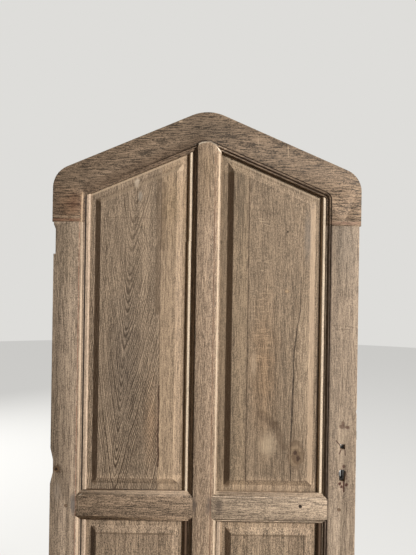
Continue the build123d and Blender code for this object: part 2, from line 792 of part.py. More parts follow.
# Case: back plate, rims and pillars, with the stud that guides the dead bolt
with BuildPart() as lock_case:
    case_x = (face_x(faceplate_thickness), face_x(case_end))
    block(case_x, (case_low_z, case_high_z), (cover_back, case_back))
    block(
        (face_x(faceplate_thickness), face_x(case_end - sheet)),
        (case_low_z + sheet, case_high_z - sheet),
        (cover_back, plate_front),
        Mode.SUBTRACT,
    )
    for distance, pillar_z in pillar_places:
        rod(face_x(distance), pillar_z, pillar_radius, (cover_back, plate_front))
        rod(
            face_x(distance),
            pillar_z,
            cover_screw_radius,
            (cover_back, case_front + cover_screw_length),
            Mode.SUBTRACT,
        )
    rod(face_x(stud_distance), stud_z, stud_radius, (cover_back, plate_front))
    for seat_side in (-1, 1):
        seat_x = axis_x + seat_side * bow_length / 2
        block(
            (seat_x, seat_x + seat_side * bow_seat_length),
            (dead_bolt_high_z + bow_rise, dead_bolt_high_z + bow_rise + bow_seat_height),
            (middle - leaf_width / 2, plate_front),
        )
    block(
        (face_x(latch_tail_end), face_x(latch_tail_end - guide_length)),
        (latch_high_z + bolt_play, case_high_z - sheet),
        (middle - tail_thickness / 2, plate_front),
    )
    rod(axis_x, spindle_z, journal_radius + running_play, (plate_front, case_back), Mode.SUBTRACT)
    extrude(key_opening(), amount=-thickness, mode=Mode.SUBTRACT)
lock_case.part.label = "lock_case"
export_step(lock_case.part, "parts/lock_case.step")

with BuildPart() as lock_cover:
    block(case_x, (case_low_z, case_high_z), (case_front, cover_back))
    rod(axis_x, spindle_z, journal_radius + running_play, (case_front, cover_back), Mode.SUBTRACT)
    extrude(key_opening(), amount=-thickness, mode=Mode.SUBTRACT)
    for distance, pillar_z in pillar_places:
        rod(face_x(distance), pillar_z, cover_screw_radius, (case_front, cover_back), Mode.SUBTRACT)
lock_cover.part.label = "lock_cover"
export_step(lock_cover.part, "parts/lock_cover.step")

# Cover screws, with thin heads that lie on the cover inside the pocket's play
with BuildPart() as cover_screws:
    for distance, pillar_z in pillar_places:
        screw_x = face_x(distance)
        rod(screw_x, pillar_z, cover_screw_radius, (case_front, case_front + cover_screw_length))
        rod(screw_x, pillar_z, cover_screw_head_radius, (case_front - pocket_play, case_front))
cover_screws.part.label = "cover_screws"
export_step(cover_screws.part, "parts/cover_screws.step")

with BuildPart() as faceplate_screws:
    for screw_z in face_screw_z:
        with Locations((face_x(0), 0, screw_z)):
            Cylinder(
                face_screw_radius,
                face_screw_length,
                rotation=(0, 90, 0),
                align=(Align.CENTER, Align.CENTER, Align.MAX),
            )
        with Locations((face_x(head_length / 2), 0, screw_z)):
            Cone(face_screw_radius, face_screw_head_radius, head_length, rotation=(0, 90, 0))
        block(
            (face_x(0), face_x(screw_slot_depth)),
            (screw_z - screw_slot_width / 2, screw_z + screw_slot_width / 2),
            centred(2 * face_screw_head_radius),
            Mode.SUBTRACT,
        )
faceplate_screws.part.label = "faceplate_screws"
export_step(faceplate_screws.part, "parts/faceplate_screws.step")

# Follower: the hub that a spindle would turn, with an arm that draws the latch
with BuildPart() as follower:
    rod(axis_x, spindle_z, hub_radius, (cover_back + bolt_play, plate_front - bolt_play))
    rod(axis_x, spindle_z, journal_radius, (case_front, case_back))
    block(
        (axis_x - arm_width / 2, axis_x + arm_width / 2),
        (spindle_z, spindle_z + arm_reach),
        centred(tail_thickness),
    )
    rod(axis_x, spindle_z + arm_reach, arm_width / 2, centred(tail_thickness))
    half_square = spindle_square / 2
    block(
        (axis_x - half_square, axis_x + half_square),
        (spindle_z - half_square, spindle_z + half_square),
        (0, thickness),
        Mode.SUBTRACT,
    )
follower.part.label = "follower"
export_step(follower.part, "parts/follower.step")

# Latch bolt: bevelled head, collar behind the faceplate, tail and the lug that the arm draws
with BuildPart() as latch_bolt:
    head_x = (face_x(-latch_throw), face_x(latch_head_length))
    block(head_x, (latch_low_z, latch_high_z), centred(bolt_thickness))
    with BuildSketch(Plane.XY.offset(latch_low_z)) as bevel:
        nose_y = -bolt_thickness / 2 + latch_nose
        Polygon(
            (face_x(-latch_throw), nose_y),
            (face_x(-latch_throw), bolt_thickness / 2),
            (face_x(latch_bevel_length - latch_throw), bolt_thickness / 2),
            align=None,
        )
    extrude(amount=latch_height, mode=Mode.SUBTRACT)
    collar_start = faceplate_thickness + bolt_play
    block(
        (face_x(collar_start), face_x(collar_start + latch_collar_length)),
        (latch_low_z - latch_collar_lip, latch_high_z + latch_collar_lip),
        centred(bolt_thickness),
    )
    block(
        (face_x(latch_head_length), face_x(latch_tail_end)),
        (latch_high_z - latch_tail_height, latch_high_z),
        centred(tail_thickness),
    )
    block(
        (face_x(lug_distance), face_x(lug_distance + lug_length)),
        (latch_low_z, latch_high_z),
        centred(tail_thickness),
    )
latch_bolt.part.label = "latch_bolt"
export_step(latch_bolt.part, "parts/latch_bolt.step")

# Latch spring: a bent leaf against the back rim of the case, its free end on the lug
spring_tip = lug_distance + lug_length + leaf_thickness / 2 + bolt_play
spring_root = case_end - sheet - leaf_thickness / 2
with BuildPart() as latch_spring:
    with BuildSketch(front_plane(middle - leaf_width / 2)) as leaf:
        with BuildLine() as leaf_line:
            FilletPolyline(
                (face_x(spring_tip), latch_low_z + latch_tail_height),
                (face_x(spring_tip), latch_low_z),
                (face_x(spring_root), spindle_z),
                (face_x(spring_root), spindle_z - leaf_foot_drop),
                radius=arm_width,
            )
        trace(line_width=leaf_thickness)
    extrude(amount=-leaf_width)
latch_spring.part.label = "latch_spring"
export_step(latch_spring.part, "parts/latch_spring.step")

# Dead bolt: drawn back flush, with the talon for the key's bit and the slot for its stud
with BuildPart() as dead_bolt:
    head_x = (face_x(0), face_x(dead_bolt_head_length))
    block(head_x, (dead_bolt_low_z, dead_bolt_high_z), centred(bolt_thickness))
    block(
        (face_x(dead_bolt_head_length), axis_x - dead_bolt_behind_axis),
        (dead_bolt_low_z, dead_bolt_high_z),
        centred(tail_thickness),
    )
    block(
        (axis_x - talon_width / 2, axis_x + talon_width / 2),
        (dead_bolt_low_z, dead_bolt_low_z + talon_height),
        centred(bolt_thickness),
        Mode.SUBTRACT,
    )
    slot_radius = stud_radius + stud_play
    block(
        (face_x(stud_distance), face_x(stud_distance + dead_bolt_throw)),
        (stud_z - slot_radius, stud_z + slot_radius),
        centred(bolt_thickness),
        Mode.SUBTRACT,
    )
    for slot_end in (stud_distance, stud_distance + dead_bolt_throw):
        rod(face_x(slot_end), stud_z, slot_radius, centred(bolt_thickness), Mode.SUBTRACT)
dead_bolt.part.label = "dead_bolt"
export_step(dead_bolt.part, "parts/dead_bolt.step")

# Bow spring that holds the dead bolt where it is put
with BuildPart() as bolt_spring:
    bow_foot_z = dead_bolt_high_z + bow_rise - leaf_thickness / 2
    bow_low_z = dead_bolt_high_z + bolt_play + leaf_thickness / 2
    bow_reach = bow_length / 2 + bow_seat_length
    with BuildSketch(front_plane(middle - leaf_width / 2)) as leaf:
        with BuildLine() as leaf_line:
            ThreePointArc(
                (axis_x + bow_reach, bow_foot_z),
                (axis_x, bow_low_z),
                (axis_x - bow_reach, bow_foot_z),
            )
        trace(line_width=leaf_thickness)
    extrude(amount=-leaf_width)
bolt_spring.part.label = "bolt_spring"
export_step(bolt_spring.part, "parts/bolt_spring.step")
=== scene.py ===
"""Looks of a peaked oak door leaf: its worn timber, slips, pegs and the lock left in its stile."""

from __future__ import annotations

import logging
import math
from dataclasses import dataclass
from dataclasses import field
from enum import Enum
from typing import Any

import bpy
from mathutils import Matrix
from mathutils import Vector

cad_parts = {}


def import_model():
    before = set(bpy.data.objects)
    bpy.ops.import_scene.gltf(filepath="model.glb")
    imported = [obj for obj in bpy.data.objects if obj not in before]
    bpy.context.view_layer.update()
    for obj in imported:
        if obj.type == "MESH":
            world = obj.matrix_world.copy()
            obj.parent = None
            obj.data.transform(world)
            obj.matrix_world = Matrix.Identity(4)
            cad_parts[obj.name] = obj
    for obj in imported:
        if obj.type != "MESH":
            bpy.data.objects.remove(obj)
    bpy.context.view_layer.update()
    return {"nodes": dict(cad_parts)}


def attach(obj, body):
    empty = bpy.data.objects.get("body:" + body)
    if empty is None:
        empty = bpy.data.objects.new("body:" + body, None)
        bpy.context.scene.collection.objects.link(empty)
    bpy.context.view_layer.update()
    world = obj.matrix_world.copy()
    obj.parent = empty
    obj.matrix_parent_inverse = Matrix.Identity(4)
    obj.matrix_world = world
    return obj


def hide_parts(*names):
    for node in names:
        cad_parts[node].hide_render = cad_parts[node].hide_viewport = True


LOG = logging.getLogger("door_leaf")

# Where the leaf's surfaces lie, in metres from the middle of its thickness, with the front at minus Y.
FRONT_Y = -0.019
MOULD_Y = -0.015
QUIRK_Y = -0.0122
FIELD_Y = -0.011
BEVEL_Y = -0.007
BORDER_Y = -0.0028

Socket = bpy.types.NodeSocket
Colour = tuple[float, float, float, float]
Point = tuple[float, float, float]
Place = tuple[float, float]


def lit(colour: Colour, factor: float) -> Colour:
    """Make a colour lighter or darker by a factor."""
    return (*(min(1.0, part * factor) for part in colour[:3]), 1.0)


def tone(red: int, green: int, blue: int) -> Colour:
    """Turn a colour as the eye names it, 0 to 255, into the linear one that a shader takes.

    Args:
        red: Red, from 0 to 255.
        green: Green, from 0 to 255.
        blue: Blue, from 0 to 255.

    Returns:
        The linear colour, with full alpha.
    """
    parts = []
    for value in (red, green, blue):
        share = value / 255
        parts.append(share / 12.92 if share <= 0.04045 else ((share + 0.055) / 1.055) ** 2.4)
    return (*parts, 1.0)


class Grain(Enum):
    """Which way the fibres of a board run, as the turn that lays the grain along them."""

    UPRIGHT = (0.0, 0.0, 0.0)
    LEVEL = (0.0, math.radians(90), 0.0)
    THROUGH = (math.radians(90), 0.0, 0.0)


class Graph:
    """Adds and joins the nodes of one shader tree."""

    def __init__(self, tree: bpy.types.NodeTree) -> None:
        """Keep the tree that the nodes go into."""
        self.tree = tree

    def feed(self, value: Any, socket: Socket) -> None:
        """Join a socket to an input, or set the input to a plain value.

        Args:
            value: Socket or plain value.
            socket: Input that takes it.
        """
        if isinstance(value, Socket):
            self.tree.links.new(value, socket)
        else:
            socket.default_value = value

    def add(self, kind: str, *values: Any, **settings: Any) -> bpy.types.Node:
        """Add a node.

        Args:
            kind: Blender's name for the node's type.
            *values: Sockets or plain values for its inputs, in their order.
            **settings: Values of the node's own properties.

        Returns:
            The new node.
        """
        node = self.tree.nodes.new(kind)
        for name, value in settings.items():
            setattr(node, name, value)
        for value, socket in zip(values, node.inputs):
            self.feed(value, socket)
        return node

    def set(self, node: bpy.types.Node, **values: Any) -> Any:
        """Feed a node's inputs by name.

        Args:
            node: Node to feed.
            **values: Sockets or plain values, under the inputs' names with _ for a space.

        Returns:
            The node's outputs.
        """
        for name, value in values.items():
            self.feed(value, node.inputs[name.replace("_", " ")])
        return node.outputs

    def math(self, operation: str, *values: Any, clamp: bool = False) -> Socket:
        """Work out a number from one to three others.

        Args:
            operation: Name of the sum, as the Math node has it.
            *values: Sockets or plain numbers.
            clamp: Whether the answer is kept from 0 to 1.

        Returns:
            The socket that holds the answer.
        """
        return self.add("ShaderNodeMath", *values, operation=operation, use_clamp=clamp).outputs[0]

    def vector(self, operation: str, *values: Any) -> Socket:
        """Work out a vector, or a length, a distance or a dot product.

        Args:
            operation: Name of the sum, as the Vector Math node has it.
            *values: Sockets or plain triples.

        Returns:
            The socket that holds the answer.
        """
        node = self.add("ShaderNodeVectorMath", *values, operation=operation)
        single = operation in ("LENGTH", "DISTANCE", "DOT_PRODUCT")
        return node.outputs["Value" if single else "Vector"]

    def scaled(self, vector: Any, factor: Any) -> Socket:
        """Multiply a vector by one number."""
        return self.set(self.add("ShaderNodeVectorMath", vector, operation="SCALE"), Scale=factor)["Vector"]

    def joined(self, x: Any, y: Any, z: Any) -> Socket:
        """Make a vector of three numbers."""
        return self.add("ShaderNodeCombineXYZ", x, y, z).outputs[0]

    def noise(self, place: Any, fineness: Any = 1.0, detail: float = 2.0, roughness: float = 0.5) -> Any:
        """Add a noise texture that reads a place.

        Args:
            place: Socket of the coordinates.
            fineness: How fine it is, as one number or as a triple for the three axes.
            detail: How many finer layers it has.
            roughness: How strong the finer layers are.

        Returns:
            The outputs of the noise, Fac and Color.
        """
        if isinstance(fineness, tuple):
            place = self.vector("MULTIPLY", place, fineness)
            fineness = 1.0
        node = self.add("ShaderNodeTexNoise")
        return self.set(node, Vector=place, Scale=fineness, Detail=detail, Roughness=roughness)

    def cloud(self, *reading: Any) -> Socket:
        """Give the brightness of a noise, which takes what noise takes."""
        return self.noise(*reading)["Fac"]

    def drift(self, *reading: Any) -> Socket:
        """Give a noise as a shift of up to a half each way, which takes what noise takes."""
        return self.vector("SUBTRACT", self.noise(*reading)["Color"], (0.5, 0.5, 0.5))

    def remap(self, value: Any, low: Any, high: Any, start: Any = 0.0, end: Any = 1.0) -> Socket:
        """Ease a value from start to end as it goes from low to high.

        Args:
            value: Socket to read.
            low: Where the change starts.
            high: Where it is over.
            start: Answer at low and before it.
            end: Answer at high and beyond it.

        Returns:
            The socket that holds the answer.
        """
        node = self.add("ShaderNodeMapRange", value, low, high, start, end, interpolation_type="SMOOTHSTEP")
        return node.outputs["Result"]

    def mix(self, amount: Any, first: Any, second: Any, blend: str = "MIX") -> Socket:
        """Mix two colours.

        Args:
            amount: Share of the second one, from 0 to 1.
            first: Colour at 0.
            second: Colour at 1.
            blend: How the second lies on the first.

        Returns:
            The socket of the mixed colour.
        """
        node = self.add("ShaderNodeMix", amount, data_type="RGBA", blend_type=blend)
        for value, index in ((first, 6), (second, 7)):
            self.feed(value, node.inputs[index])
        return node.outputs[2]

    def skin(self, colour: Any, rough: Any, height: Any, strength: float, relief: float) -> bpy.types.Node:
        """Give the material one shader over a relief.

        Args:
            colour: Its colour.
            rough: Its roughness.
            height: Height of its relief.
            strength: How much of the relief shows.
            relief: How far a height of 1 stands out, in metres.

        Returns:
            The shader, for what else is set on it.
        """
        bump = self.set(self.add("ShaderNodeBump"), Strength=strength, Distance=relief, Height=height)
        shader = self.add("ShaderNodeBsdfPrincipled")
        outputs = self.set(shader, Base_Color=colour, Roughness=rough, Normal=bump["Normal"])
        self.add("ShaderNodeOutputMaterial", outputs["BSDF"])
        return shader


def start_material(name: str) -> tuple[bpy.types.Material, Graph]:
    """Make an empty material, and the graph that fills it.

    Args:
        name: Name of the material.

    Returns:
        The material and its graph.
    """
    material = bpy.data.materials.new(name)
    material.use_nodes = True
    material.node_tree.nodes.clear()
    return material, Graph(material.node_tree)


class ShaderGroup:
    """A shader effect that several finishes share, built once and placed in each with its own values."""

    title = ""
    vectors: tuple[str, ...] = ()
    colours: tuple[str, ...] = ()
    numbers: tuple[str, ...] = ()
    outputs = {"Mask": "NodeSocketFloat"}

    def fill(self, graph: Graph, given: Any, wanted: Any) -> None:
        """Join the group's inputs to its outputs.

        Args:
            graph: Graph of the group's tree.
            given: Its inputs, as sockets to read.
            wanted: Its outputs, as sockets to feed.
        """
        raise NotImplementedError

    def tree(self) -> bpy.types.NodeTree:
        """Give the group's tree, built on the first call.

        Returns:
            The shader node tree.
        """
        found = bpy.data.node_groups.get(self.title)
        if found:
            return found
        tree = bpy.data.node_groups.new(self.title, "ShaderNodeTree")
        inputs = {
            **dict.fromkeys(self.vectors, "NodeSocketVector"),
            **dict.fromkeys(self.colours, "NodeSocketColor"),
            **dict.fromkeys(self.numbers, "NodeSocketFloat"),
        }
        for sockets, side in ((inputs, "INPUT"), (self.outputs, "OUTPUT")):
            for name, kind in sockets.items():
                tree.interface.new_socket(name=name, in_out=side, socket_type=kind)
        graph = Graph(tree)
        given = graph.add("NodeGroupInput").outputs
        self.fill(graph, given, graph.add("NodeGroupOutput").inputs)
        return tree

    def place(self, graph: Graph, *values: Any) -> Any:
        """Put the group into a tree, fed with its vectors, colours and numbers, and give its outputs."""
        return graph.add("ShaderNodeGroup", *values, node_tree=self.tree()).outputs


class TimberGrain(ShaderGroup):
    """Open oak grain: broad bands, fine streaks and dark pores, all along the fibres, which run up Z."""

    title = "timber grain"
    vectors = ("Place",)
    colours = ("Pale", "Dark", "Pore")
    numbers = ("Streak Width", "Streak Length", "Bands", "Streaks", "Speckle", "Pores", "Wander")
    outputs = {"Color": "NodeSocketColor", "Height": "NodeSocketFloat", "Roughness": "NodeSocketFloat"}
    drift_fineness = (5.0, 5.0, 2.2)
    drift_shares = (2.0, 1.0, 0.5)
    bands_per_streak = (0.16, 0.16, 0.06)
    pores_per_streak = (1.45, 1.45, 0.8)
    pore_edges = (0.53, 0.68)
    speck_fineness = (420.0, 420.0, 260.0)
    dullest = 0.68

    def fill(self, graph: Graph, given: Any, wanted: Any) -> None:
        """Join the group's inputs to its outputs."""
        drift = graph.scaled(graph.drift(given["Place"], self.drift_fineness), given["Wander"])
        place = graph.vector("ADD", given["Place"], graph.vector("MULTIPLY", drift, self.drift_shares))
        across = graph.math("DIVIDE", 1.0, given["Streak Width"])
        along = graph.math("DIVIDE", 1.0, given["Streak Length"])
        fibre = graph.vector("MULTIPLY", place, graph.joined(across, across, along))
        streak = graph.cloud(fibre, 1.0, 3.0, 0.85)
        band = graph.cloud(fibre, self.bands_per_streak, 4.0, 0.65)
        pore = graph.remap(graph.cloud(fibre, self.pores_per_streak, 1.0), *self.pore_edges)
        speck = graph.cloud(place, self.speck_fineness, 1.5)
        level = 0.5
        for part, name in ((band, "Bands"), (streak, "Streaks"), (speck, "Speckle")):
            part = graph.math("SUBTRACT", part, 0.5)
            level = graph.math("MULTIPLY_ADD", part, given[name], level, clamp=name == "Speckle")
        colour = graph.mix(level, given["Dark"], given["Pale"])
        sunk = graph.math("MULTIPLY", pore, given["Pores"], clamp=True)
        graph.feed(graph.mix(sunk, colour, given["Pore"]), wanted["Color"])
        raised = graph.math("MULTIPLY", streak, 0.8)
        height = graph.math("SUBTRACT", raised, graph.math("MULTIPLY", sunk, 0.6))
        graph.feed(height, wanted["Height"])
        graph.feed(graph.math("MULTIPLY_ADD", level, 0.12, self.dullest), wanted["Roughness"])


class NestedRings(ShaderGroup):
    """Growth rings cut nearly along the trunk, which show as nested points down the middle of a board."""

    title = "nested rings"
    vectors = ("Place", "Centre")
    numbers = ("Ring", "Steepness", "Blunt", "Lean")
    sways = (((9.0, 9.0, 4.0), 0.5, 0.026), ((110.0, 110.0, 45.0), 0.6, 0.0042))
    blunting = 0.03
    sharpest = 0.003
    flank = 0.55
    spread = 2.4

    def fill(self, graph: Graph, given: Any, wanted: Any) -> None:
        """Join the group's inputs to its outputs."""
        place = graph.vector("SUBTRACT", given["Place"], given["Centre"])
        for fineness, roughness, reach in self.sways:
            sway = graph.scaled(graph.drift(given["Place"], fineness, 2.0, roughness), reach)
            place = graph.vector("ADD", place, sway)
        x, _, z = graph.add("ShaderNodeSeparateXYZ", place).outputs
        x = graph.math("SUBTRACT", x, graph.math("MULTIPLY", z, given["Lean"]))
        blunt = graph.math("MULTIPLY_ADD", z, self.blunting, given["Blunt"])
        blunt = graph.math("MAXIMUM", blunt, self.sharpest)
        reach = graph.math("ADD", graph.math("MULTIPLY", x, x), graph.math("MULTIPLY", blunt, blunt))
        reach = graph.math("MULTIPLY", graph.math("POWER", reach, self.flank), given["Steepness"])
        number = graph.math("DIVIDE", graph.math("SUBTRACT", z, reach), given["Ring"])
        close = graph.cloud(graph.joined(graph.math("MULTIPLY", number, 0.35), 0.0, 0.0))
        number = graph.math("MULTIPLY_ADD", close, self.spread, number)
        phase = graph.math("FRACT", number)
        line = graph.math("MULTIPLY", graph.remap(phase, 0.0, 0.3), graph.remap(phase, 0.4, 0.8, 1.0, 0.0))
        plain = graph.cloud(graph.joined(graph.math("MULTIPLY", number, 0.8), 7.0, 0.0), 1.0, 1.0)
        faint = graph.cloud(given["Place"], (30.0, 30.0, 10.0))
        fades = ((plain, 0.3, 0.55, 0.45, 1.0), (z, -0.25, 0.3, 1.0, 0.55), (faint, 0.3, 0.55, 0.65, 1.0))
        for fade in fades:
            line = graph.math("MULTIPLY", line, graph.remap(*fade))
        graph.feed(line, wanted["Mask"])


class Patch(ShaderGroup):
    """A soft or ragged patch about a centre."""

    title = "patch"
    vectors = ("Place", "Centre", "Reach")
    numbers = ("Edge", "Ragged", "Tatter")

    def fill(self, graph: Graph, given: Any, wanted: Any) -> None:
        """Join the group's inputs to its outputs."""
        away = graph.vector("SUBTRACT", given["Place"], given["Centre"])
        away = graph.vector("DIVIDE", away, given["Reach"])
        torn = graph.cloud(graph.scaled(given["Place"], given["Tatter"]), 1.0, 3.0, 0.6)
        torn = graph.math("MULTIPLY", graph.math("SUBTRACT", torn, 0.5), given["Ragged"])
        far = graph.math("ADD", graph.vector("LENGTH", away), torn)
        near = graph.math("SUBTRACT", 1.0, given["Edge"])
        graph.feed(graph.remap(far, near, 1.0, 1.0, 0.0), wanted["Mask"])


class Stroke(ShaderGroup):
    """A thin mark from one point to another, such as a split, a scratch or the line of a glued joint."""

    title = "stroke"
    vectors = ("Place", "Start", "End")
    numbers = ("Half Width", "Wander", "Gaps")
    sway_fineness = 22.0
    gap_fineness = 75.0

    def fill(self, graph: Graph, given: Any, wanted: Any) -> None:
        """Join the group's inputs to its outputs."""
        sway = graph.scaled(graph.drift(given["Place"], self.sway_fineness), given["Wander"])
        place = graph.vector("ADD", given["Place"], sway)
        line = graph.vector("SUBTRACT", given["End"], given["Start"])
        along = graph.vector("DOT_PRODUCT", graph.vector("SUBTRACT", place, given["Start"]), line)
        share = graph.math("DIVIDE", along, graph.vector("DOT_PRODUCT", line, line), clamp=True)
        nearest = graph.vector("ADD", given["Start"], graph.scaled(line, share))
        far = graph.math("DIVIDE", graph.vector("DISTANCE", place, nearest), given["Half Width"])
        gap = graph.remap(graph.cloud(given["Place"], self.gap_fineness, 2.0, 0.6), 0.45, 0.6)
        kept = graph.math("SUBTRACT", 1.0, graph.math("MULTIPLY", gap, given["Gaps"]))
        graph.feed(graph.math("MULTIPLY", graph.remap(far, 0.45, 1.0, 1.0, 0.0), kept), wanted["Mask"])


class SawMarks(ShaderGroup):
    """Faint marks of a saw, close together across the fibres."""

    title = "saw marks"
    vectors = ("Place",)
    numbers = ("Pitch", "Length")
    sway_fineness = 45.0
    sway_reach = (0.16, 0.16, 0.006)
    area_fineness = 9.0

    def fill(self, graph: Graph, given: Any, wanted: Any) -> None:
        """Join the group's inputs to its outputs."""
        wide = graph.math("DIVIDE", 1.0, given["Length"])
        close = graph.math("DIVIDE", 1.0, given["Pitch"])
        sway = graph.drift(given["Place"], self.sway_fineness, 3.0, 0.6)
        place = graph.vector("ADD", given["Place"], graph.vector("MULTIPLY", sway, self.sway_reach))
        place = graph.vector("MULTIPLY", place, graph.joined(wide, wide, close))
        line = graph.remap(graph.cloud(place, 1.0, 1.5), 0.54, 0.68)
        where = graph.remap(graph.cloud(given["Place"], self.area_fineness), 0.38, 0.56)
        graph.feed(graph.math("MULTIPLY", line, where), wanted["Mask"])


@dataclass(frozen=True)
class Layer:
    """State of a finish while marks are laid on it."""

    colour: Any
    height: Any


class Mark:
    """Something that shows on the timber where its mask is, in its own colour."""

    colour: Colour
    strength: float
    depth: float = 0.0
    blend = "MIX"

    def mask(self, graph: Graph, place: Socket) -> Socket:
        """Tell where the mark lies, from 0 to 1."""
        raise NotImplementedError

    def paint(self, graph: Graph, place: Socket, layer: Layer) -> Layer:
        """Lay the mark on a finish.

        Args:
            graph: Graph of the material.
            place: Socket of the coordinates.
            layer: The finish so far.

        Returns:
            The finish with the mark on it.
        """
        mask = self.mask(graph, place)
        amount = graph.math("MULTIPLY", mask, self.strength)
        height = layer.height
        if self.depth:
            height = graph.math("SUBTRACT", height, graph.math("MULTIPLY", mask, self.depth))
        return Layer(graph.mix(amount, layer.colour, self.colour, self.blend), height)


class Area(Mark):
    """A mark on a patch of the timber, about a centre."""

    x: float
    y: float
    z: float
    half_width: float
    half_depth: float
    half_height: float
    edge: float
    ragged: float
    tatter: float

    def mask(self, graph: Graph, place: Socket) -> Socket:
        """Tell where the patch lies, from 0 to 1."""
        centre = (self.x, self.y, self.z)
        reach = (self.half_width, self.half_depth, self.half_height)
        return Patch().place(graph, place, centre, reach, self.edge, self.ragged, self.tatter)["Mask"]


@dataclass(frozen=True)
class Spot(Area):
    """A stain, knot, hole or pale patch at a place on the timber."""

    x: float
    z: float
    half_width: float
    half_height: float
    colour: Colour
    strength: float = 0.6
    depth: float = 0.0
    edge: float = 0.7
    ragged: float = 0.5
    tatter: float = 60.0
    y: float = FRONT_Y
    half_depth: float = 0.012


@dataclass(frozen=True)
class Tint(Area):
    """A stretch of timber paler, darker or warmer than the rest, with its grain left as it is."""

    x: float
    z: float
    half_width: float
    half_height: float
    factor: Point
    y: float = FRONT_Y
    strength = 1.0
    half_depth = 0.025
    edge = 1.0
    ragged = 0.6
    tatter = 20.0
    blend = "MULTIPLY"

    @property
    def colour(self) -> Colour:
        """Give the factor as a colour."""
        return (*self.factor, 1.0)


@dataclass(frozen=True)
class SawnPatch(Area):
    """Marks that a saw left across the fibres of one board."""

    x: float
    z: float
    half_width: float
    half_height: float
    colour: Colour
    strength: float
    pitch: float
    length: float
    y = FIELD_Y
    half_depth = 0.02
    edge = 0.6
    ragged = 0.4
    tatter = 25.0

    def mask(self, graph: Graph, place: Socket) -> Socket:
        """Tell where the marks lie, from 0 to 1."""
        marks = SawMarks().place(graph, place, self.pitch, self.length)["Mask"]
        return graph.math("MULTIPLY", marks, super().mask(graph, place))


@dataclass(frozen=True)
class Split(Mark):
    """A crack, scratch, shade, worn line or joint line between two places on the timber."""

    x: float
    z: float
    end_x: float
    end_z: float
    half_width: float
    colour: Colour
    strength: float
    y: float = FIELD_Y
    wander: float = 0.001
    gaps: float = 0.0
    depth: float = 0.0

    def mask(self, graph: Graph, place: Socket) -> Socket:
        """Tell where the line lies, from 0 to 1."""
        ends = ((self.x, self.y, self.z), (self.end_x, self.y, self.end_z))
        return Stroke().place(graph, place, *ends, self.half_width, self.wander, self.gaps)["Mask"]


@dataclass(frozen=True)
class RingFigure(Mark):
    """Nested rings down the middle of a board."""

    x: float
    z: float
    colour: Colour
    strength: float
    ring: float
    steepness: float
    blunt: float
    lean: float
    depth = 0.25

    def mask(self, graph: Graph, place: Socket) -> Socket:
        """Tell where the rings lie, from 0 to 1."""
        form = (self.ring, self.steepness, self.blunt, self.lean)
        return NestedRings().place(graph, place, (self.x, 0.0, self.z), *form)["Mask"]


@dataclass(frozen=True)
class Oak:
    """Finish of one run of oak: bare, greyed and open in the grain."""

    name: str
    body: Colour
    contrast: float = 0.6
    shift: Point = (0.0, 0.0, 0.0)
    marks: tuple[Mark, ...] = ()
    grain: Grain = Grain.UPRIGHT
    streak_width: float = 0.0026
    streak_length: float = 0.034
    bands: float = 1.3
    streaks: float = 2.2
    speckle: float = 1.7
    pores: float = 0.45
    wander: float = 0.012
    pore: Colour = tone(58, 42, 28)
    bump: float = 0.8
    relief: float = 0.0007
    shine: float = 0.25

    def material(self) -> bpy.types.Material:
        """Build the finish.

        Returns:
            The material.
        """
        material, graph = start_material(self.name)
        place = graph.add("ShaderNodeTexCoord").outputs["Object"]
        fibres = graph.add("ShaderNodeMapping", vector_type="TEXTURE")
        along = graph.set(fibres, Vector=place, Location=self.shift, Rotation=self.grain.value)["Vector"]
        pale = lit(self.body, 1.0 + self.contrast)
        dark = lit(self.body, 1.0 - self.contrast)
        streak = (self.streak_width, self.streak_length)
        look = (self.bands, self.streaks, self.speckle, self.pores, self.wander)
        grain = TimberGrain().place(graph, along, pale, dark, self.pore, *streak, *look)
        layer = Layer(grain["Color"], grain["Height"])
        for mark in self.marks:
            layer = mark.paint(graph, place, layer)
        shader = graph.skin(layer.colour, grain["Roughness"], layer.height, self.bump, self.relief)
        graph.set(shader, Specular_IOR_Level=self.shine)
        return material


@dataclass(frozen=True)
class Metal:
    """Finish of the lock's iron and steel: worn bright where it rubs, dull and spotted elsewhere."""

    name: str
    bright: Colour
    dull: Colour
    rust_share: float = 0.3
    smooth: float = 0.35
    rough: float = 0.6
    rusty: float = 0.85
    rust: Colour = tone(92, 62, 42)
    bump: float = 0.5
    relief: float = 0.0002

    def material(self) -> bpy.types.Material:
        """Build the finish.

        Returns:
            The material.
        """
        material, graph = start_material(self.name)
        place = graph.add("ShaderNodeTexCoord").outputs["Object"]
        cloud = graph.cloud(place, 90.0, 4.0, 0.6)
        speck = graph.cloud(place, 260.0, 5.0, 0.7)
        brushed = graph.cloud(place, (300.0, 300.0, 2500.0))
        colour = graph.mix(graph.remap(cloud, 0.38, 0.62), self.dull, self.bright)
        rusted = graph.remap(speck, 0.64 - 0.2 * self.rust_share, 0.74 - 0.2 * self.rust_share)
        colour = graph.mix(rusted, colour, self.rust)
        rubbed = graph.math("MULTIPLY_ADD", brushed, 0.3, cloud)
        rough = graph.remap(rubbed, 0.3, 0.9, self.rough, self.smooth)
        rough = graph.math("MAXIMUM", rough, graph.math("MULTIPLY", rusted, self.rusty))
        height = graph.math("ADD", speck, graph.math("MULTIPLY", brushed, 0.3))
        shader = graph.skin(colour, rough, height, self.bump, self.relief)
        graph.set(shader, Metallic=graph.math("SUBTRACT", 0.95, graph.math("MULTIPLY", rusted, 0.8)))
        return material


def dress(node: bpy.types.Object, material: bpy.types.Material) -> None:
    """Give a carried-over solid its finish.

    Args:
        node: The solid.
        material: Its finish.
    """
    if not node.material_slots:
        node.data.materials.append(material)
    for place in node.material_slots:
        place.material = material
    LOG.info("%s takes %s", node.name, material.name)


